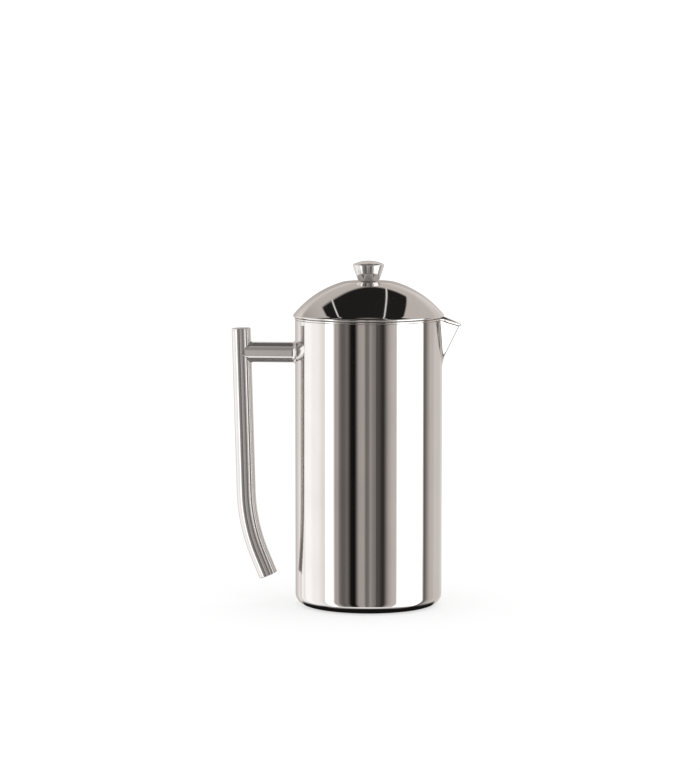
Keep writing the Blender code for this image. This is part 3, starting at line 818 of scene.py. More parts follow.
def turn_with_spout(
    name: str, points: Sequence[Point], spout: Spout, closed: bool = False
) -> Object:
    """Turns a profile about Z with finer steps where the spout goes."""
    obj = draw(name, points, closed)
    sector = math.degrees(spout.sector)
    spin(sector, SPOUT_STEPS)
    spin(360.0 - 2 * sector, REST_STEPS)
    spin(sector, SPOUT_STEPS)
    close_up()
    spout.draw_out(obj)
    return obj


@dataclass
class Pot:
    """Double-wall pot: outer wall, inside with its rim and spout, and foot plate."""

    finishes: Finishes
    shell: Extent
    vessel: Extent
    plate: Extent
    sheet: float = 0.8 * MM
    skin: float = 0.5 * MM
    foot_radius: float = 7.9 * MM
    foot_turn: float = 1.0 * MM
    lowest_ring: float = 0.35
    rim_height: float = 1.4 * MM
    rim_gap: float = 0.12 * MM
    rim_round: float = 0.45 * MM
    mouth_round: float = 0.6 * MM
    mouth_flat: float = 1.0 * MM
    under_ease: float = 0.3 * MM
    corner_radius: float = 8.0 * MM
    wall_space: float = 3.4 * MM
    polished_depth: float = 14.0 * MM
    lip_depth: float = 4.0 * MM
    plate_edge: float = 0.35 * MM
    ring_share: float = 0.86
    ring_slope: float = 0.4 * MM
    ring_width: float = 2.8 * MM

    def __post_init__(self) -> None:
        """Works out the sizes that several pieces share."""
        self.outer = self.shell.radius
        self.inner = self.outer - 2 * self.sheet - self.wall_space
        self.spout = Spout(outer=self.outer, inner=self.inner, rim=self.vessel.top)

    def build(self) -> None:
        """Builds the pot's pieces."""
        self.build_wall()
        self.build_inside()
        self.build_foot_plate()

    def build_wall(self) -> None:
        """Outer wall, rounded in at the foot and drawn out into the spout."""
        base, start = self.shell.base, self.spout.start
        top = self.vessel.top - self.rim_height - self.rim_gap
        centre = (self.outer - self.foot_radius, base + self.foot_radius)
        profile = [(centre[0] - self.foot_turn, base)]
        profile += arc(centre, self.foot_radius, -90.0, 0.0, 20)
        profile += line((self.outer, start * self.lowest_ring), (self.outer, start), 6)
        profile += line((self.outer, start), (self.outer, top), 66)
        profile.append((self.outer, top))
        wall = turn_with_spout("pot_wall", profile, self.spout)
        apply_modifier(wall, "SOLIDIFY", thickness=self.skin, offset=-1.0, use_even_offset=True)
        fit(wall, Body.CARAFE, Slot.MIRROR, self.finishes.mirror, "outer_shell")

    def build_inside(self) -> None:
        """Inner wall and floor, turned out at the top into the rim and the spout's lip."""
        top, start = self.vessel.top, self.spout.start
        under = top - self.rim_height
        floor = self.vessel.base + self.sheet
        inner, back = self.inner, self.inner + self.sheet
        mouth, curl = self.mouth_round, self.rim_round
        proud = self.vessel.radius - curl
        corner = (inner - self.corner_radius, floor + self.corner_radius)
        profile = [(0.0, floor)]
        profile += arc(corner, self.corner_radius, -90.0, 0.0, 10)
        profile += line((inner, start / 2), (inner, start), 3)
        profile += line((inner, start), (inner, top - mouth), 44)
        profile += arc((inner + mouth, top - mouth), mouth, 180.0, 90.0, 4)
        profile += line((inner + self.mouth_flat, top), (proud, top), 5)
        profile += arc((proud, top - curl), curl, 90.0, 0.0, 5)
        profile += arc((proud, under + curl), curl, 0.0, -90.0, 5)
        profile += line((proud - self.under_ease, under), (back + self.under_ease, under), 3)
        profile += line((back, under), (back, start), 30)
        profile += [(back, start)]
        profile += arc(corner, self.corner_radius + self.sheet, 0.0, -90.0, 8)
        profile += [(0.0, floor - self.sheet)]
        inside = turn_with_spout("pot_inside", profile, self.spout)
        fit(inside, Body.CARAFE, Slot.SATIN, self.finishes.brushed, "inner_vessel", "spout")
        inside.data.materials.append(self.finishes.mirror)
        for face in inside.data.polygons:
            height, reach = face.center.z, math.hypot(face.center.x, face.center.y)
            if height <= top - self.polished_depth:
                continue
            if height > under - self.lip_depth or reach > inner + MM:
                face.material_index = 1

    def build_foot_plate(self) -> None:
        """Disc that closes the pot underneath, with a shallow pressed ring."""
        top, low, radius = self.plate.top, self.plate.base, self.plate.radius
        edge, slope, width = self.plate_edge, self.ring_slope, self.ring_width
        ring = radius * self.ring_share
        profile = [(0.0, top), (radius - edge, top)]
        profile += arc((radius - edge, top - edge), edge, 90.0, 0.0, 4)
        profile += arc((radius - edge, low + edge), edge, 0.0, -90.0, 4)
        profile += [(ring, low), (ring - slope, low + edge)]
        profile += [(ring - width + slope, low + edge), (ring - width, low), (0.0, low)]
        plate = turn("foot_plate", profile)
        fit(plate, Body.CARAFE, Slot.SATIN, self.finishes.turned, "base_plate")


# --------------------------------------------------------------------- handle


@dataclass
class Handle:
    """Bent tube with an end cap at each end, carried by one level post."""

    finishes: Finishes
    pot_radius: float
    post: Extent
    radius: float = 6.65 * MM
    wall: float = 1.2 * MM
    top: Point = (-89.2 * MM, 192.9 * MM)
    lean: float = math.radians(1.6)
    bend: float = math.radians(20.9)
    bend_radius: float = 125.0 * MM
    foot_straight: float = 15.8 * MM
    foot_height: float = 19.1 * MM
    cap: float = 1.4 * MM
    cap_round: float = 0.6 * MM
    cap_gap: float = 0.06 * MM
    plug_gap: float = 0.15 * MM
    plug_length: float = 4.0 * MM
    post_radius: float = 7.1 * MM
    flare: float = 1.3 * MM
    flare_run: float = 2.4 * MM
    weld: float = 0.75 * MM
    weld_run: float = 1.6 * MM
    saddle: float = 0.085
    saddle_run: float = 3.0 * MM
    embed: float = 0.08 * MM
    sides: int = 72
    straight_rings: int = 6
    bend_rings: int = 40
    post_rings: int = 64

    def __post_init__(self) -> None:
        """Works out where the grip's bend starts and where it ends."""
        self.full = self.lean + self.bend
        bend_drop = self.bend_radius * (math.sin(self.full) - math.sin(self.lean))
        foot_drop = self.foot_straight * math.cos(self.full)
        self.bend_height = self.foot_height + foot_drop + bend_drop
        centre_x = self.axis_x(self.bend_height) + self.bend_radius * math.cos(self.lean)
        self.bend_centre = (centre_x, self.bend_height + self.bend_radius * math.sin(self.lean))
        foot_x = centre_x - self.bend_radius * math.cos(self.full)
        self.foot_end = (foot_x + math.sin(self.full) * self.foot_straight, self.foot_height)
        self.post_height = (self.post.base + self.post.top) / 2

    def axis_x(self, height: float) -> float:
        """X of the grip's axis on its straight stretch."""
        return self.top[0] + (self.top[1] - height) * math.tan(self.lean)

    def build(self) -> None:
        """Builds the grip, its caps and the post."""
        self.build_grip()
        self.build_cap("grip_cap_top", self.top, -self.lean, "grip_top_cap")
        self.build_cap("grip_cap_foot", self.foot_end, math.pi - self.full, "grip_bottom_cap")
        self.build_post()

    def start_ring(
        self, name: str, radius: float, place: Sequence[float], tilt: float
    ) -> Object:
        """Ring that a tube is drawn from, left in edit mode."""
        deselect_all()
        bpy.ops.mesh.primitive_circle_add(
            vertices=self.sides, radius=radius, location=place, rotation=(0.0, tilt, 0.0)
        )
        ring = start_piece(name)
        edit_all()
        return ring

    def build_grip(self) -> None:
        """Ring drawn down the straight, spun round the bend and drawn to the foot."""
        shorten = self.cap + self.cap_gap
        direction = Vector((math.sin(self.lean), 0.0, -math.cos(self.lean)))
        start = Vector((self.top[0], 0.0, self.top[1])) + direction * shorten
        grip = self.start_ring("grip_tube", self.radius, start, -self.lean)
        run = (start.z - self.bend_height) / math.cos(self.lean)
        for _ in range(self.straight_rings):
            extrude_by(direction * (run / self.straight_rings))
        bpy.ops.mesh.spin(
            steps=self.bend_rings,
            angle=self.bend,
            center=(self.bend_centre[0], 0.0, self.bend_centre[1]),
            axis=(0.0, 1.0, 0.0),
        )
        last = Vector((math.sin(self.full), 0.0, -math.cos(self.full)))
        extrude_by(last * (self.foot_straight - shorten))
        close_up()
        apply_modifier(grip, "SOLIDIFY", thickness=self.wall, offset=-1.0)
        fit(grip, Body.CARAFE, Slot.MIRROR, self.finishes.drawn, "handle_grip")

    def build_cap(self, name: str, end: Point, tilt: float, node: str) -> None:
        """Turned end cap with a rounded edge and a plug that goes into the tube."""
        plug = self.radius - self.wall - self.plug_gap
        edge, low = self.cap_round, -self.cap
        profile = [(0.0, 0.0), (self.radius - edge, 0.0)]
        profile += arc((self.radius - edge, -edge), edge, 90.0, 0.0, 8)[1:]
        profile += [(self.radius, low), (plug, low)]
        profile += [(plug, low - self.plug_length), (0.0, low - self.plug_length)]
        cap = turn(name, profile, SMALL_STEPS)
        put(cap, (end[0], 0.0, end[1]), tilt)
        fit(cap, Body.CARAFE, Slot.MIRROR, self.finishes.drawn, node)

    def build_post(self) -> None:
        """Level tube, flared onto the pot's wall and saddled onto the grip."""
        length = -self.axis_x(self.post_height) - self.pot_radius
        place = (-self.pot_radius, 0.0, self.post_height)
        post = self.start_ring("grip_post", self.post_radius, place, math.pi / 2)
        for _ in range(self.post_rings):
            extrude_by((-length / self.post_rings, 0.0, 0.0))
        bpy.ops.object.mode_set(mode="OBJECT")
        for vertex in post.data.vertices:
            share = eased((-vertex.co.x - self.pot_radius) / length)
            near, far = self.post_ends(vertex.co.y, vertex.co.z)
            run = far - near
            y, height = self.post_section(vertex.co, run * share, run * (1.0 - share))
            near, far = self.post_ends(y, height)
            vertex.co = Vector((-(near + (far - near) * share), y, height))
        bpy.ops.object.mode_set(mode="EDIT")
        bpy.ops.mesh.select_all(action="DESELECT")
        bpy.ops.mesh.select_non_manifold()
        bpy.ops.mesh.edge_face_add()
        close_up()
        fit(post, Body.CARAFE, Slot.MIRROR, self.finishes.drawn, "handle_post")

    def post_ends(self, y: float, height: float) -> Point:
        """Distances from the pot's axis at which a line of the post starts and ends."""
        near = math.sqrt(self.pot_radius**2 - y * y) - self.embed
        reach = math.sqrt(max(self.radius**2 - y * y, 0.0))
        return (near, -self.axis_x(height) - reach + self.embed)

    def post_section(self, point: Vector, from_pot: float, from_grip: float) -> Point:
        """Where a point of the plain post's section goes.

        Args:
            point: The point on the plain round post.
            from_pot: Its distance from the pot's wall.
            from_grip: Its distance from the grip's wall.

        Returns:
            Its Y and its height: flared at the pot, and narrowed at the grip so
            that the saddle ends just inside the grip's silhouette.
        """
        y, z = point.y, point.z - self.post_height
        flare = self.flare * max(1.0 - from_pot / self.flare_run, 0.0) ** 2
        weld = self.weld * max(1.0 - from_grip / self.weld_run, 0.0) ** 2
        narrow = self.saddle * max(1.0 - from_grip / self.saddle_run, 0.0) ** 2
        y *= 1.0 + flare / self.post_radius - narrow
        z *= 1.0 + (flare + weld) / self.post_radius
        return (y, self.post_height + z)


# ------------------------------------------------------------------------ lid


@dataclass
class Lid:
    """Domed lid: dome, sleeve, liner, and the rod's bushing with its nut."""

    finishes: Finishes
    dome: Extent
    sleeve: Extent
    liner: Extent
    bushing: Extent
    nut: Extent
    wall: float = 0.9 * MM
    hem_height: float = 1.9 * MM
    hem_width: float = 1.8 * MM
    hem_start: float = 62.0
    arc_radius: float = 67.0 * MM
    arc_inset: float = 0.5 * MM
    arc_foot: float = 0.7 * MM
    arc_ends: Edge = (0.6, 2.0)
    plateau: float = 16.8 * MM
    plateau_round: float = 1.0 * MM
    plateau_dish: float = 1.2 * MM
    dish_steps: int = 16
    under_steps: int = 12
    roll_steps: int = 7
    bore: float = 2.85 * MM
    bore_gap: float = 0.2 * MM
    bore_ease: float = 0.15 * MM
    bushing_radius: float = 4.2 * MM
    bushing_ease: float = 0.25 * MM
    flange_drop: float = 0.5 * MM
    flange_height: float = 1.5 * MM
    nut_bore: float = 4.35 * MM
    skirt_outside: float = 45.6 * MM
    skirt_inside: float = 44.8 * MM
    skirt_bend: float = 0.7 * MM
    skirt_throat: float = 1.5 * MM
    skirt_ease: float = 0.3 * MM
    slots: int = 5
    slot_pitch: float = 5.0 * MM
    slot_radius: float = 1.2 * MM
    slot_margin: float = 2.0 * MM
    liner_ease: float = 0.2 * MM

    def __post_init__(self) -> None:
        """Works out the centre of the arc from the hem's top to the plateau's edge."""
        foot = Vector((self.dome.radius - self.arc_inset, self.dome.base + self.hem_height))
        head = Vector((self.plateau, self.dome.top))
        chord = head - foot
        inward = Vector((-chord.y, chord.x)).normalized()
        depth = math.sqrt(self.arc_radius**2 - chord.length_squared / 4)
        self.centre = tuple((foot + head) / 2 + inward * depth)
        self.wide_bore = self.bushing_radius + self.bore_gap

    def build(self) -> None:
        """Builds the lid's pieces."""
        self.build_dome()
        self.build_sleeve()
        self.build_liner()
        self.build_bushing()
        self.build_nut()

    def bearing(self, across: float, height: float) -> float:
        """Angle in degrees at which the dome's centre sees a point."""
        return math.degrees(math.atan2(height - self.centre[1], across - self.centre[0]))

    def build_dome(self) -> None:
        """Domed shell with a dished top and a round rolled hem."""
        base, top, edge = self.dome.base, self.dome.top, self.dome.radius
        bead = self.hem_height / 2
        low = self.bearing(edge - self.arc_foot, base + self.hem_height) + self.arc_ends[0]
        high = self.bearing(self.plateau, top) - self.arc_ends[1]
        middle = top - self.plateau_dish
        first = self.wide_bore + self.bore_ease
        last = self.plateau - self.plateau_round
        profile = [(self.wide_bore, middle - self.bore_ease)]
        for step in range(self.dish_steps + 1):
            share = step / self.dish_steps
            profile.append((first + (last - first) * share, middle + self.plateau_dish * share**2))
        profile += self.plateau_edge(math.radians(high))
        profile += arc(self.centre, self.arc_radius, high, low, 40)
        profile += arc((edge - bead, base + bead), bead, self.hem_start, -90.0, 14)
        profile += self.under_dome(edge - self.hem_width)
        dome = turn("lid_shell", profile, DOME_STEPS, closed=True)
        fit(dome, Body.LID, Slot.MIRROR, self.finishes.mirror, "lid_dome")

    def under_dome(self, hem_inside: float) -> list[Point]:
        """Line of the dome's underside, from the hem up and in to the bore."""
        thin = self.arc_radius - self.wall
        low = math.degrees(math.acos((hem_inside - self.centre[0]) / thin))
        high = math.degrees(math.acos((self.plateau - self.centre[0]) / thin))
        points = [(hem_inside, self.dome.base)] + arc(self.centre, thin, low, high, 24)
        top = self.centre[1] + thin * math.sin(math.radians(high))
        for step in range(1, self.under_steps + 1):
            share = 1.0 - step / self.under_steps
            reach = self.wide_bore + (self.plateau - self.wide_bore) * share
            points.append((reach, top - self.plateau_dish * (1.0 - share**2)))
        return points

    def plateau_edge(self, end: float) -> list[Point]:
        """Small roll from the dished top over into the dome.

        Args:
            end: Angle in radians at which the dome's arc takes over.
        """
        first = Vector((self.plateau - self.plateau_round, self.dome.top))
        corner = Vector((self.plateau, self.dome.top))
        last = Vector(self.centre) + Vector((math.cos(end), math.sin(end))) * self.arc_radius
        points = []
        for step in range(1, self.roll_steps):
            share = step / self.roll_steps
            point = first.lerp(corner, share).lerp(corner.lerp(last, share), share)
            points.append((point.x, point.y))
        return points

    def build_sleeve(self) -> None:
        """Skirt that centres the lid in the pot, with strainer slots by the spout."""
        top, low, base = self.sleeve.top, self.sleeve.base, self.dome.base
        flange, ease, bend = self.sleeve.radius, self.skirt_ease, self.skirt_bend
        outside, inside, throat = self.skirt_outside, self.skirt_inside, self.skirt_throat
        profile = [(flange, top), (flange, base), (outside + bend, base)]
        profile += arc((outside + bend, base - bend), bend, 90.0, 180.0, 6)[1:]
        profile += [(outside, low + ease), (outside - ease, low), (inside, low)]
        profile += arc((inside + throat, top - throat), throat, 180.0, 90.0, 8)
        sleeve = turn("lid_skirt", profile, closed=True)
        for index in range(self.slots):
            middle = (index - self.slots // 2) * self.slot_pitch
            cut(sleeve, self.slot_cutter(middle, low, base))
        fit(sleeve, Body.LID, Slot.SATIN, self.finishes.turned, "lid_sleeve")

    def slot_cutter(self, middle: float, low: float, high: float) -> Object:
        """Lying pin, its lower half drawn down, for one upright round-ended slot.

        Args:
            middle: Y of the slot.
            low: Height of the sleeve's lower edge.
            high: Height of the hem's lower edge.
        """
        upper = high - self.slot_margin - self.slot_radius
        deselect_all()
        bpy.ops.mesh.primitive_cylinder_add(
            vertices=32,
            radius=self.slot_radius,
            depth=20.0 * MM,
            location=(self.skirt_inside, middle, upper),
            rotation=(0.0, math.pi / 2, 0.0),
        )
        slot = start_piece("slot_cutter")
        bpy.ops.object.mode_set(mode="EDIT")
        mesh = bmesh.from_edit_mesh(slot.data)
        for vertex in mesh.verts:
            vertex.select = vertex.co.z < upper + WELD
        mesh.select_flush(True)
        bmesh.update_edit_mesh(slot.data)
        drop = upper - self.slot_radius - low - self.slot_margin
        bpy.ops.transform.translate(value=(0.0, 0.0, -drop))
        bpy.ops.object.mode_set(mode="OBJECT")
        return slot

    def build_liner(self) -> None:
        """Flat inner plate with eased edges and a bore for the bushing."""
        radius, ease, bore = self.liner.radius, self.liner_ease, self.wide_bore
        top, low = self.liner.top, self.liner.base
        profile = [(radius - ease, top), (radius, top - ease)]
        profile += [(radius, low + ease), (radius - ease, low), (bore, low), (bore, top)]
        liner = turn("lid_inner_plate", profile, closed=True)
        fit(liner, Body.LID, Slot.SATIN, self.finishes.turned, "lid_liner")

    def build_bushing(self) -> None:
        """Flanged guide tube for the rod, with eased edges."""
        top, low, bore = self.bushing.top, self.bushing.base, self.bore
        outside, flange, ease = self.bushing_radius, self.bushing.radius, self.bushing_ease
        flange_top = top - self.wall - self.flange_drop
        flange_low = flange_top - self.flange_height
        profile = [(bore + ease, top), (outside - ease, top), (outside, top - ease)]
        profile += [(outside, flange_top), (flange - ease, flange_top)]
        profile += [(flange, flange_top - ease), (flange, flange_low + ease)]
        profile += [(flange - ease, flange_low), (outside, flange_low)]
        profile += [(outside, low + ease), (outside - ease, low), (bore + ease, low)]
        profile += [(bore, low + ease), (bore, top - ease)]
        bushing = turn("bushing_tube", profile, SMALL_STEPS, closed=True)
        fit(bushing, Body.BUSHING, Slot.PLASTIC, self.finishes.nylon, "rod_bushing")

    def build_nut(self) -> None:
        """Six-sided nut that holds the bushing under the inner plate."""
        radius, low, high = self.nut.widest, self.nut.base, self.nut.top
        nut = hex_nut("bushing_ring_nut", radius, low, high, self.nut_bore)
        fit(nut, Body.BUSHING, Slot.SATIN, self.finishes.turned, "bushing_nut")


# -------------------------------------------------------------------- plunger


@dataclass
class Plunger:
    """Knob, rod and filter stack."""

    finishes: Finishes
    knob: Extent
    rod: Extent
    collar: Extent
    spring_plate: Extent
    spring: Extent
    coarse: Extent
    fine: Extent
    cross: Extent
    nut: Extent
    crown: float = 2.5 * MM
    crown_share: float = 0.97
    knob_edge: float = 0.6 * MM
    knob_bow: float = 0.12 * MM
    waist: float = 7.4 * MM
    waist_height: float = 1.7 * MM
    neck: float = 3.4 * MM
    neck_height: float = 0.2 * MM
    knob_bore: Point = (2.15 * MM, 7.2 * MM)
    rod_radius: float = 2.5 * MM
    rod_gap: float = 0.3 * MM
    stud_radius: float = 1.9 * MM
    ease: float = 0.3 * MM
    thread_radius: float = 2.0 * MM
    thread_pitch: float = 0.7 * MM
    thread_depth: float = 0.25 * MM
    thread_start: float = 0.4 * MM
    collar_edge: float = 1.0 * MM
    stack_gap: float = 0.35 * MM
    web_ring: float = 29.0 * MM
    web_hole: float = 5.5 * MM
    web_holes: int = 8
    hub_ring: float = 14.0 * MM
    hub_hole: float = 3.0 * MM
    hub_holes: int = 6
    first_hole: float = math.pi / 48
    plate_sheet: float = 0.8 * MM
    channel_inside: float = 40.4 * MM
    wire_radius: float = 0.32 * MM
    coils: int = 104
    points_per_coil: int = 12
    cloth_sheet: float = 0.4 * MM
    cloth_bend: float = 0.5 * MM
    cloth_ease: float = 0.15 * MM
    nut_gap: float = 0.1 * MM

    def __post_init__(self) -> None:
        """Works out the bore of the discs that the thread goes through."""
        self.stack_bore = self.thread_radius + self.stack_gap
    def build(self) -> None:
        """Builds the plunger's pieces, top to bottom."""
        self.build_knob()
        self.build_rod()
        self.build_collar()
        self.build_spring_plate()
        self.build_spring()
        self.build_cloths()
        self.build_cross_plate()
        self.build_nut()

    def build_knob(self) -> None:
        """Solid turned knob, wider at its crowned top than at its waist."""
        radius, top, base, edge = self.knob.radius, self.knob.top, self.knob.base, self.knob_edge
        crown_radius = (radius**2 + self.crown**2) / (2 * self.crown)
        meet = math.degrees(math.asin((radius - edge) / crown_radius))
        end = 90.0 - meet * self.crown_share
        profile = arc((0.0, top - crown_radius), crown_radius, 90.0, end, 20)
        profile[0] = (0.0, top)
        profile += arc((radius - edge, top - self.crown - edge), edge, 78.0 - meet / 2, -20.0, 8)
        start, foot = profile[-1], (self.waist, base + self.waist_height)
        for step in range(1, 13):
            share = step / 12
            bow = self.knob_bow * math.sin(math.pi * share)
            across = start[0] + (foot[0] - start[0]) * share + bow
            profile.append((across, start[1] + (foot[1] - start[1]) * share))
        across, down = self.waist - self.neck, self.waist_height - self.neck_height
        for step in range(1, 9):
            angle = math.radians(90.0 * step / 8)
            reach = self.neck + across * math.cos(angle)
            profile.append((reach, foot[1] - down * math.sin(angle)))
        bore, depth = self.knob_bore
        profile += [(self.neck, base), (bore, base), (bore, base + depth), (0.0, base + depth)]
        knob = turn("knob_turned", profile, KNOB_STEPS)
        fit(knob, Body.PLUNGER, Slot.MIRROR, self.finishes.drawn, "knob")

    def build_rod(self) -> None:
        """Rod with a stud above and a threaded end below."""
        top, base, stack = self.rod.top, self.rod.base, self.collar.base
        shoulder = self.knob.base - self.rod_gap
        ease, radius, stud = self.ease, self.rod_radius, self.stud_radius
        profile = [(0.0, top), (stud - ease, top), (stud, top - ease), (stud, shoulder)]
        profile += [(radius - ease, shoulder), (radius, shoulder - ease)]
        profile += [(radius, stack + ease), (radius - ease, stack)]
        pitch, root = self.thread_pitch, self.thread_radius - self.thread_depth
        height = stack - self.thread_start
        profile.append((self.thread_radius, height))
        while height - pitch > base + ease:
            profile.append((root, height - pitch / 2))
            profile.append((self.thread_radius, height - pitch))
            height -= pitch
        profile += [(root, base), (0.0, base)]
        rod = turn("rod_turned", profile, SMALL_STEPS)
        fit(rod, Body.PLUNGER, Slot.SATIN, self.finishes.turned, "plunger_rod")

    def build_collar(self) -> None:
        """Collar with rounded shoulders that presses the stack together."""
        top, base, radius = self.collar.top, self.collar.base, self.collar.radius
        bore, edge, ease = self.rod_radius + self.rod_gap, self.collar_edge, self.ease
        profile = [(bore, top), (radius - edge, top)]
        profile += arc((radius - edge, top - edge), edge, 90.0, 0.0, 8)
        profile += [(radius, base + ease), (radius - ease, base), (bore, base)]
        collar = turn("collar_turned", profile, SMALL_STEPS, closed=True)
        fit(collar, Body.PLUNGER, Slot.SATIN, self.finishes.turned, "rod_collar")

    def pierce(self, plate: Object, low: float, high: float) -> None:
        """Cuts a plate's outer and inner rings of round holes and eases their edges."""
        for count, ring, radius in (
            (self.web_holes, self.web_ring, self.web_hole),
            (self.hub_holes, self.hub_ring, self.hub_hole),
        ):
            for index in range(count):
                angle = math.tau * index / count + self.first_hole
                place = (ring * math.cos(angle), ring * math.sin(angle))
                cut(plate, pin(radius, low - MM, high + MM, place))
        ease_edges(plate, 0.15 * MM, 40.0)

    def build_spring_plate(self) -> None:
        """Pierced plate whose edge is a channel, open outward, for the spring."""
        base, top, lip = self.spring_plate.base, self.spring_plate.top, self.spring_plate.radius
        bore, sheet, inside = self.stack_bore, self.plate_sheet, self.channel_inside
        wall, bend = inside + sheet, sheet
        profile = [(bore, base + sheet), (inside - bend, base + sheet)]
        profile += arc((inside - bend, base + sheet + bend), bend, -90.0, 0.0, 5)[1:]
        profile += [(inside, top - bend)]
        profile += arc((inside + bend, top - bend), bend, 180.0, 90.0, 5)[1:]
        profile += [(lip, top), (lip, top - sheet), (wall, top - sheet), (wall, base + bend)]
        profile += arc((wall - bend, base + bend), bend, 0.0, -90.0, 5)[1:]
        profile += [(bore, base)]
        plate = turn("spring_channel_plate", profile, closed=True)
        self.pierce(plate, base, base + sheet)
        fit(plate, Body.PLUNGER, Slot.SATIN, self.finishes.turned, "spring_plate")

    def build_spring(self) -> None:
        """Closed ring of coiled wire that presses the fine cloth to the pot's wall."""
        coil = (self.spring.top - self.spring.base) / 2
        middle = (self.spring.top + self.spring.base) / 2
        ring, sweep = self.spring.radius - coil, coil - self.wire_radius
        curve = bpy.data.curves.new("spring_wire", "CURVE")
        curve.dimensions = "3D"
        curve.bevel_depth = self.wire_radius
        curve.bevel_resolution = 2
        spline = curve.splines.new("POLY")
        count = self.coils * self.points_per_coil
        spline.points.add(count - 1)
        spline.use_cyclic_u = True
        for index, point in enumerate(spline.points):
            around = math.tau * index / count
            twist = math.tau * index / self.points_per_coil
            reach = ring + sweep * math.cos(twist)
            height = middle + sweep * math.sin(twist)
            point.co = (reach * math.cos(around), reach * math.sin(around), height, 1.0)
        spring = bpy.data.objects.new("spring_coil", curve)
        bpy.context.scene.collection.objects.link(spring)
        activate(spring)
        bpy.ops.object.convert(target="MESH")
        spring, finish = bpy.context.object, self.finishes.spring
        fit(spring, Body.PLUNGER, Slot.SPRING, finish, "edge_spring", crease=math.pi / 2)

    def build_cloths(self) -> None:
        """Fine cloth with its upturned wiping edge, and the flat coarse cloth."""
        sheet, bend, bore = self.cloth_sheet, self.cloth_bend, self.stack_bore
        base, top, radius = self.fine.base, self.fine.top, self.fine.radius
        profile = [(bore, base + sheet), (radius - sheet - bend, base + sheet)]
        profile += [(radius - sheet, base + sheet + bend), (radius - sheet, top), (radius, top)]
        profile += arc((radius - bend - sheet, base + bend + sheet), bend + sheet, 0.0, -90.0, 6)
        profile += [(bore, base)]
        fine = turn("fine_cloth", profile, closed=True)
        fit(fine, Body.PLUNGER, Slot.MESH, self.finishes.fine_cloth, "fine_mesh")
        disc = self.disc_line(self.coarse, self.cloth_ease)
        coarse = turn("coarse_cloth", disc, closed=True)
        fit(coarse, Body.PLUNGER, Slot.MESH, self.finishes.coarse_cloth, "coarse_mesh")

    def disc_line(self, disc: Extent, ease: float) -> list[Point]:
        """Section of a flat disc with a bore and eased edges."""
        high, low, radius = disc.top, disc.base, disc.radius
        points = [(self.stack_bore, high), (radius - ease, high), (radius, high - ease)]
        return points + [(radius, low + ease), (radius - ease, low), (self.stack_bore, low)]

    def build_cross_plate(self) -> None:
        """Pierced lower plate that spreads the cloths."""
        plate = turn("pierced_plate", self.disc_line(self.cross, self.ease), closed=True)
        self.pierce(plate, self.cross.base, self.cross.top)
        fit(plate, Body.PLUNGER, Slot.SATIN, self.finishes.turned, "cross_plate")

    def build_nut(self) -> None:
        """Six-sided nut that holds the stack on the rod."""
        bore = self.thread_radius + self.nut_gap
        nut = hex_nut("stack_nut", self.nut.widest, self.nut.base, self.nut.top, bore)
        fit(nut, Body.PLUNGER, Slot.SATIN, self.finishes.turned, "hub_nut")


# --------------------------------------------------------------------- studio


@dataclass(frozen=True)
class Tone:
    """Brightness of the studio in one direction.

    The bearing is in degrees from the studio's front, positive to the right,
    and the level is how bright polished steel looks there, 1 for white.
    """

    bearing: float
    level: float


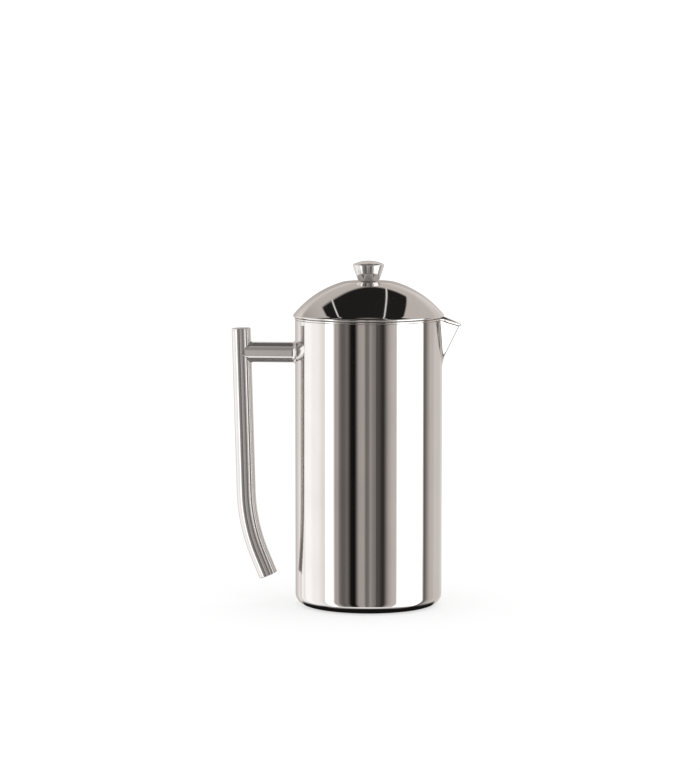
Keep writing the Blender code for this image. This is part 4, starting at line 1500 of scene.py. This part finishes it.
@dataclass(frozen=True)
class Studio:
    """White surroundings, soft panels and dark flags for the steel, and the floor.

    An edge is the pair of values between which one thing turns into the next.
    Overhead they are measured on a level ceiling, as if it hung 1 above.
    """

    steel: float = 0.705
    gamma: float = 2.2
    ambient: float = 1.14
    warmth: float = 0.09
    warming: float = 0.28
    cooling: float = 0.6
    ceiling: float = 0.67
    ceiling_left: float = 0.56
    ceiling_front: float = 0.43
    ceiling_back: float = 0.79
    ceiling_panel: float = 0.13
    ceiling_tube: float = 0.85
    ceiling_edge: Edge = (0.34, 0.46)
    left_edge: Edge = (-0.6, -1.5)
    back_edge: Edge = (1.3, 2.6)
    front_edge: Edge = (-0.3, -0.6)
    lowest_up: float = 0.05
    panel_sides: Edge = (-0.74, 0.62)
    panel_soft: float = 0.02
    panel_fan: float = 0.168
    panel_slant: tuple[float, ...] = (-0.55, 0.10, 0.68, 0.98)
    panel_back: Edge = (0.10, -0.10)
    panel_front: Edge = (-0.36, -0.30)
    tubes: tuple[Edge, ...] = ((-0.535, -0.515), (0.253, 0.273))
    tube_soft: float = 0.012
    table: float = 0.94
    table_near: float = 0.30
    table_edge: Edge = (-0.66, -0.75)
    under_edge: Edge = (-0.86, -0.91)
    behind_edge: Edge = (-0.02, 0.10)
    left: tuple[Tone, ...] = (
        Tone(-180, 0.58), Tone(-168, 0.62), Tone(-158, 0.70), Tone(-147, 0.77), Tone(-140, 0.87),
        Tone(-134, 0.75), Tone(-129, 0.95), Tone(-122, 0.86), Tone(-117, 0.96),
        Tone(-105, 0.97), Tone(-98, 0.93), Tone(-86, 0.92), Tone(-77, 0.85),
        Tone(-72.5, 0.84), Tone(-70.5, 1.15), Tone(-58, 1.15), Tone(-56, 0.77),
        Tone(-53, 0.57), Tone(-50, 0.61), Tone(-46, 0.43), Tone(-43, 0.36),
        Tone(-39, 0.34), Tone(-34, 0.40), Tone(-31, 0.31), Tone(-28, 0.12),
        Tone(-22, 0.08), Tone(-20, 0.20), Tone(-17, 0.46), Tone(-14.5, 0.58),
        Tone(-7, 0.59), Tone(-4, 0.39), Tone(0, 0.42),
    )
    right: tuple[Tone, ...] = (
        Tone(0, 0.42), Tone(3, 0.55), Tone(7, 0.47), Tone(10.5, 0.45),
        Tone(12.5, 0.29), Tone(16, 0.30), Tone(20, 0.21), Tone(23.5, 0.18),
        Tone(26, 0.33), Tone(30, 0.54), Tone(34, 0.63), Tone(39, 0.68),
        Tone(44, 0.69), Tone(46.5, 1.15), Tone(93, 1.15), Tone(95.5, 0.70),
        Tone(98, 0.31), Tone(100, 0.37), Tone(104, 0.48), Tone(109, 0.60),
        Tone(114, 0.675), Tone(121, 0.675), Tone(128, 0.73), Tone(140, 0.72),
        Tone(150, 0.715), Tone(163, 0.76), Tone(171, 0.64), Tone(180, 0.58),
    )
    floor_size: float = 6.0
    floor_light: float = 0.63
    floor_colour: float = 0.36
    shade: float = 0.10
    shade_edge: Edge = (50.5 * MM, 56.0 * MM)
    shade_front: Edge = (16.0 * MM, 8.0 * MM)

    def tinted(self, level: float) -> tuple[float, float, float, float]:
        """Colour of light that makes the steel look so bright, warmer where it is darker."""
        light = level**self.gamma / self.steel
        warm = min(max(1.0 - level, 0.0) * self.warming, self.warmth)
        return (light * (1.0 + warm), light, light * (1.0 - self.cooling * warm), 1.0)
    def band(self, graph: Graph, share: Socket, tones: Sequence[Tone]) -> Socket:
        """Colours round half of the horizon."""
        node = graph.add("ValToRGB", {0: share})
        stops = node.color_ramp.elements
        first, last = tones[0].bearing, tones[-1].bearing
        while len(stops) < len(tones):
            stops.new(0.5)
        for stop, tone in zip(stops, tones):
            stop.position = (tone.bearing - first) / (last - first)
            stop.color = self.tinted(tone.level)
        return node.outputs[0]

    def build(self) -> None:
        """Builds the surroundings and the floor."""
        self.build_world()
        self.build_floor()

    def build_world(self) -> None:
        """Bands of light and shade round the horizon and panels overhead."""
        world = bpy.data.worlds.new("studio")
        bpy.context.scene.world = world
        world.use_nodes = True
        world.node_tree.nodes.clear()
        graph = Graph(world.node_tree)
        direction = graph.add("TexCoord").outputs["Generated"]
        forward, rightward = graph.along(direction, FRONT), graph.along(direction, RIGHT)
        backward = graph.math("MULTIPLY", forward, -1.0)
        up = graph.add("SeparateXYZ", {0: direction}).outputs[2]
        bearing = graph.math("DIVIDE", graph.math("ARCTAN2", rightward, forward), math.pi)
        left = self.band(graph, graph.math("ADD", bearing, 1.0), self.left)
        right = self.band(graph, bearing, self.right)
        horizon = graph.mix(graph.math("GREATER_THAN", bearing, 0.0), left, right)
        overhead = self.ceiling_colour(graph, rightward, backward, up)
        sky = graph.mix(graph.ramp(up, *self.ceiling_edge), horizon, overhead)
        under = graph.ramp(up, *self.under_edge)
        near = graph.math("MAXIMUM", under, graph.ramp(backward, *self.behind_edge))
        table = graph.mix(near, self.tinted(self.table), self.tinted(self.table_near))
        whole = graph.mix(graph.ramp(up, *self.table_edge), sky, table)
        mirrored = graph.add("Background", {"Color": whole, "Strength": 1.0})
        plain = graph.add("Background", {"Color": WHITE, "Strength": self.ambient})
        rays = graph.by_ray(plain, mirrored)
        graph.add("OutputWorld", {0: rays.outputs[0]})

    def ceiling_colour(
        self, graph: Graph, rightward: Socket, backward: Socket, up: Socket
    ) -> Socket:
        """Grey ceiling with a dark panel that two light tubes cross."""
        height = graph.math("MAXIMUM", up, self.lowest_up)
        across = graph.math("DIVIDE", rightward, height)
        along = graph.math("DIVIDE", backward, height)
        lean = graph.math("MULTIPLY", along, graph.math("MAXIMUM", across, 0.0))
        fanned = graph.math("MULTIPLY_ADD", lean, self.panel_fan, across)
        wide = graph.between(fanned, *self.panel_sides, self.panel_soft)
        past = graph.math("SUBTRACT", along, graph.ramp(across, *self.panel_slant))
        back = graph.ramp(past, *self.panel_back)
        front = graph.ramp(along, *self.panel_front)
        panel = graph.math("MULTIPLY", graph.math("MULTIPLY", wide, back), front)
        first, second = (graph.between(fanned, *tube, self.tube_soft) for tube in self.tubes)
        tube = graph.math("ADD", first, second)
        dark = graph.mix(tube, self.tinted(self.ceiling_panel), self.tinted(self.ceiling_tube))
        grey = self.tinted(self.ceiling)
        for value, edge, level in (
            (across, self.left_edge, self.ceiling_left),
            (along, self.back_edge, self.ceiling_back),
            (along, self.front_edge, self.ceiling_front),
        ):
            grey = graph.mix(graph.ramp(value, *edge), grey, self.tinted(level))
        return graph.mix(panel, grey, dark)

    def build_floor(self) -> None:
        """White floor whose shade the steel sees only close to the pot's foot."""
        deselect_all()
        bpy.ops.mesh.primitive_plane_add(size=self.floor_size)
        floor = start_piece("studio_floor")
        bpy.ops.object.mode_set(mode="EDIT")
        bpy.ops.mesh.subdivide(number_cuts=3)
        bpy.ops.object.mode_set(mode="OBJECT")
        floor.data.materials.append(self.floor_paint())

    def floor_paint(self) -> Material:
        """Self-lit white paint, which steel sees through but for the shade at the foot."""
        material = bpy.data.materials.new("studio_floor_paint")
        material.use_nodes = True
        material.node_tree.nodes.clear()
        graph = Graph(material.node_tree)
        place = graph.add("TexCoord").outputs["Object"]
        reach = graph.add("VectorMath", {0: place}, operation="LENGTH").outputs["Value"]
        ahead = graph.along(place, FRONT)
        far = graph.ramp(reach, *self.shade_edge)
        clear_of = graph.math("MAXIMUM", far, graph.ramp(ahead, *self.shade_front))
        shade = graph.add("Emission", {"Color": self.tinted(self.shade), "Strength": 1.0})
        clear = graph.add("BsdfTransparent")
        links = {0: clear_of, 1: shade.outputs[0], 2: clear.outputs[0]}
        mirrored = graph.add("MixShader", links)
        colour = self.floor_colour
        matt = graph.add("BsdfDiffuse", {"Color": (colour, colour, colour, 1.0)})
        glow = graph.add("Emission", {"Color": WHITE, "Strength": self.floor_light})
        paint = graph.add("AddShader", {0: matt.outputs[0], 1: glow.outputs[0]})
        rays = graph.by_ray(paint, mirrored)
        graph.add("OutputMaterial", {0: rays.outputs[0]})
        return material


@dataclass(frozen=True)
class Camera:
    """Long lens a little above the table, looking just left of the pot's axis."""

    distance: float = 2.026
    height: float = 0.345
    aim_height: float = 0.1537
    aim_left: float = 0.0129
    lens: float = 136.7
    sensor: float = 36.0
    nearest: float = 0.05
    farthest: float = 50.0

    def build(self) -> None:
        """Makes the scene's camera."""
        place = Vector((self.distance * FRONT[0], self.distance * FRONT[1], self.height))
        aim = Vector((-self.aim_left * RIGHT[0], -self.aim_left * RIGHT[1], self.aim_height))
        data = bpy.data.cameras.new("camera")
        data.lens = self.lens
        data.sensor_width = self.sensor
        data.clip_start = self.nearest
        data.clip_end = self.farthest
        camera = bpy.data.objects.new("camera", data)
        camera.location = place
        camera.rotation_euler = (aim - place).to_track_quat("-Z", "Y").to_euler()
        bpy.context.scene.collection.objects.link(camera)
        bpy.context.scene.camera = camera


def main() -> None:
    """Builds the studio and the press, piece by piece."""
    logging.basicConfig(level=logging.INFO, format="%(name)s: %(message)s")
    bpy.context.scene.view_settings.view_transform = "Standard"
    Studio().build()
    Camera().build()
    finishes = Finishes.build()
    Pot(finishes, *extents("outer_shell", "inner_vessel", "base_plate")).build()
    Handle(finishes, Extent.of("outer_shell").radius, Extent.of("handle_post")).build()
    lid_nodes = ("lid_dome", "lid_sleeve", "lid_liner", "rod_bushing", "bushing_nut")
    Lid(finishes, *extents(*lid_nodes)).build()
    top_nodes = ("knob", "plunger_rod", "rod_collar", "spring_plate", "edge_spring")
    low_nodes = ("coarse_mesh", "fine_mesh", "cross_plate", "hub_nut")
    Plunger(finishes, *extents(*top_nodes, *low_nodes)).build()


if __name__ == "__main__":
    main()
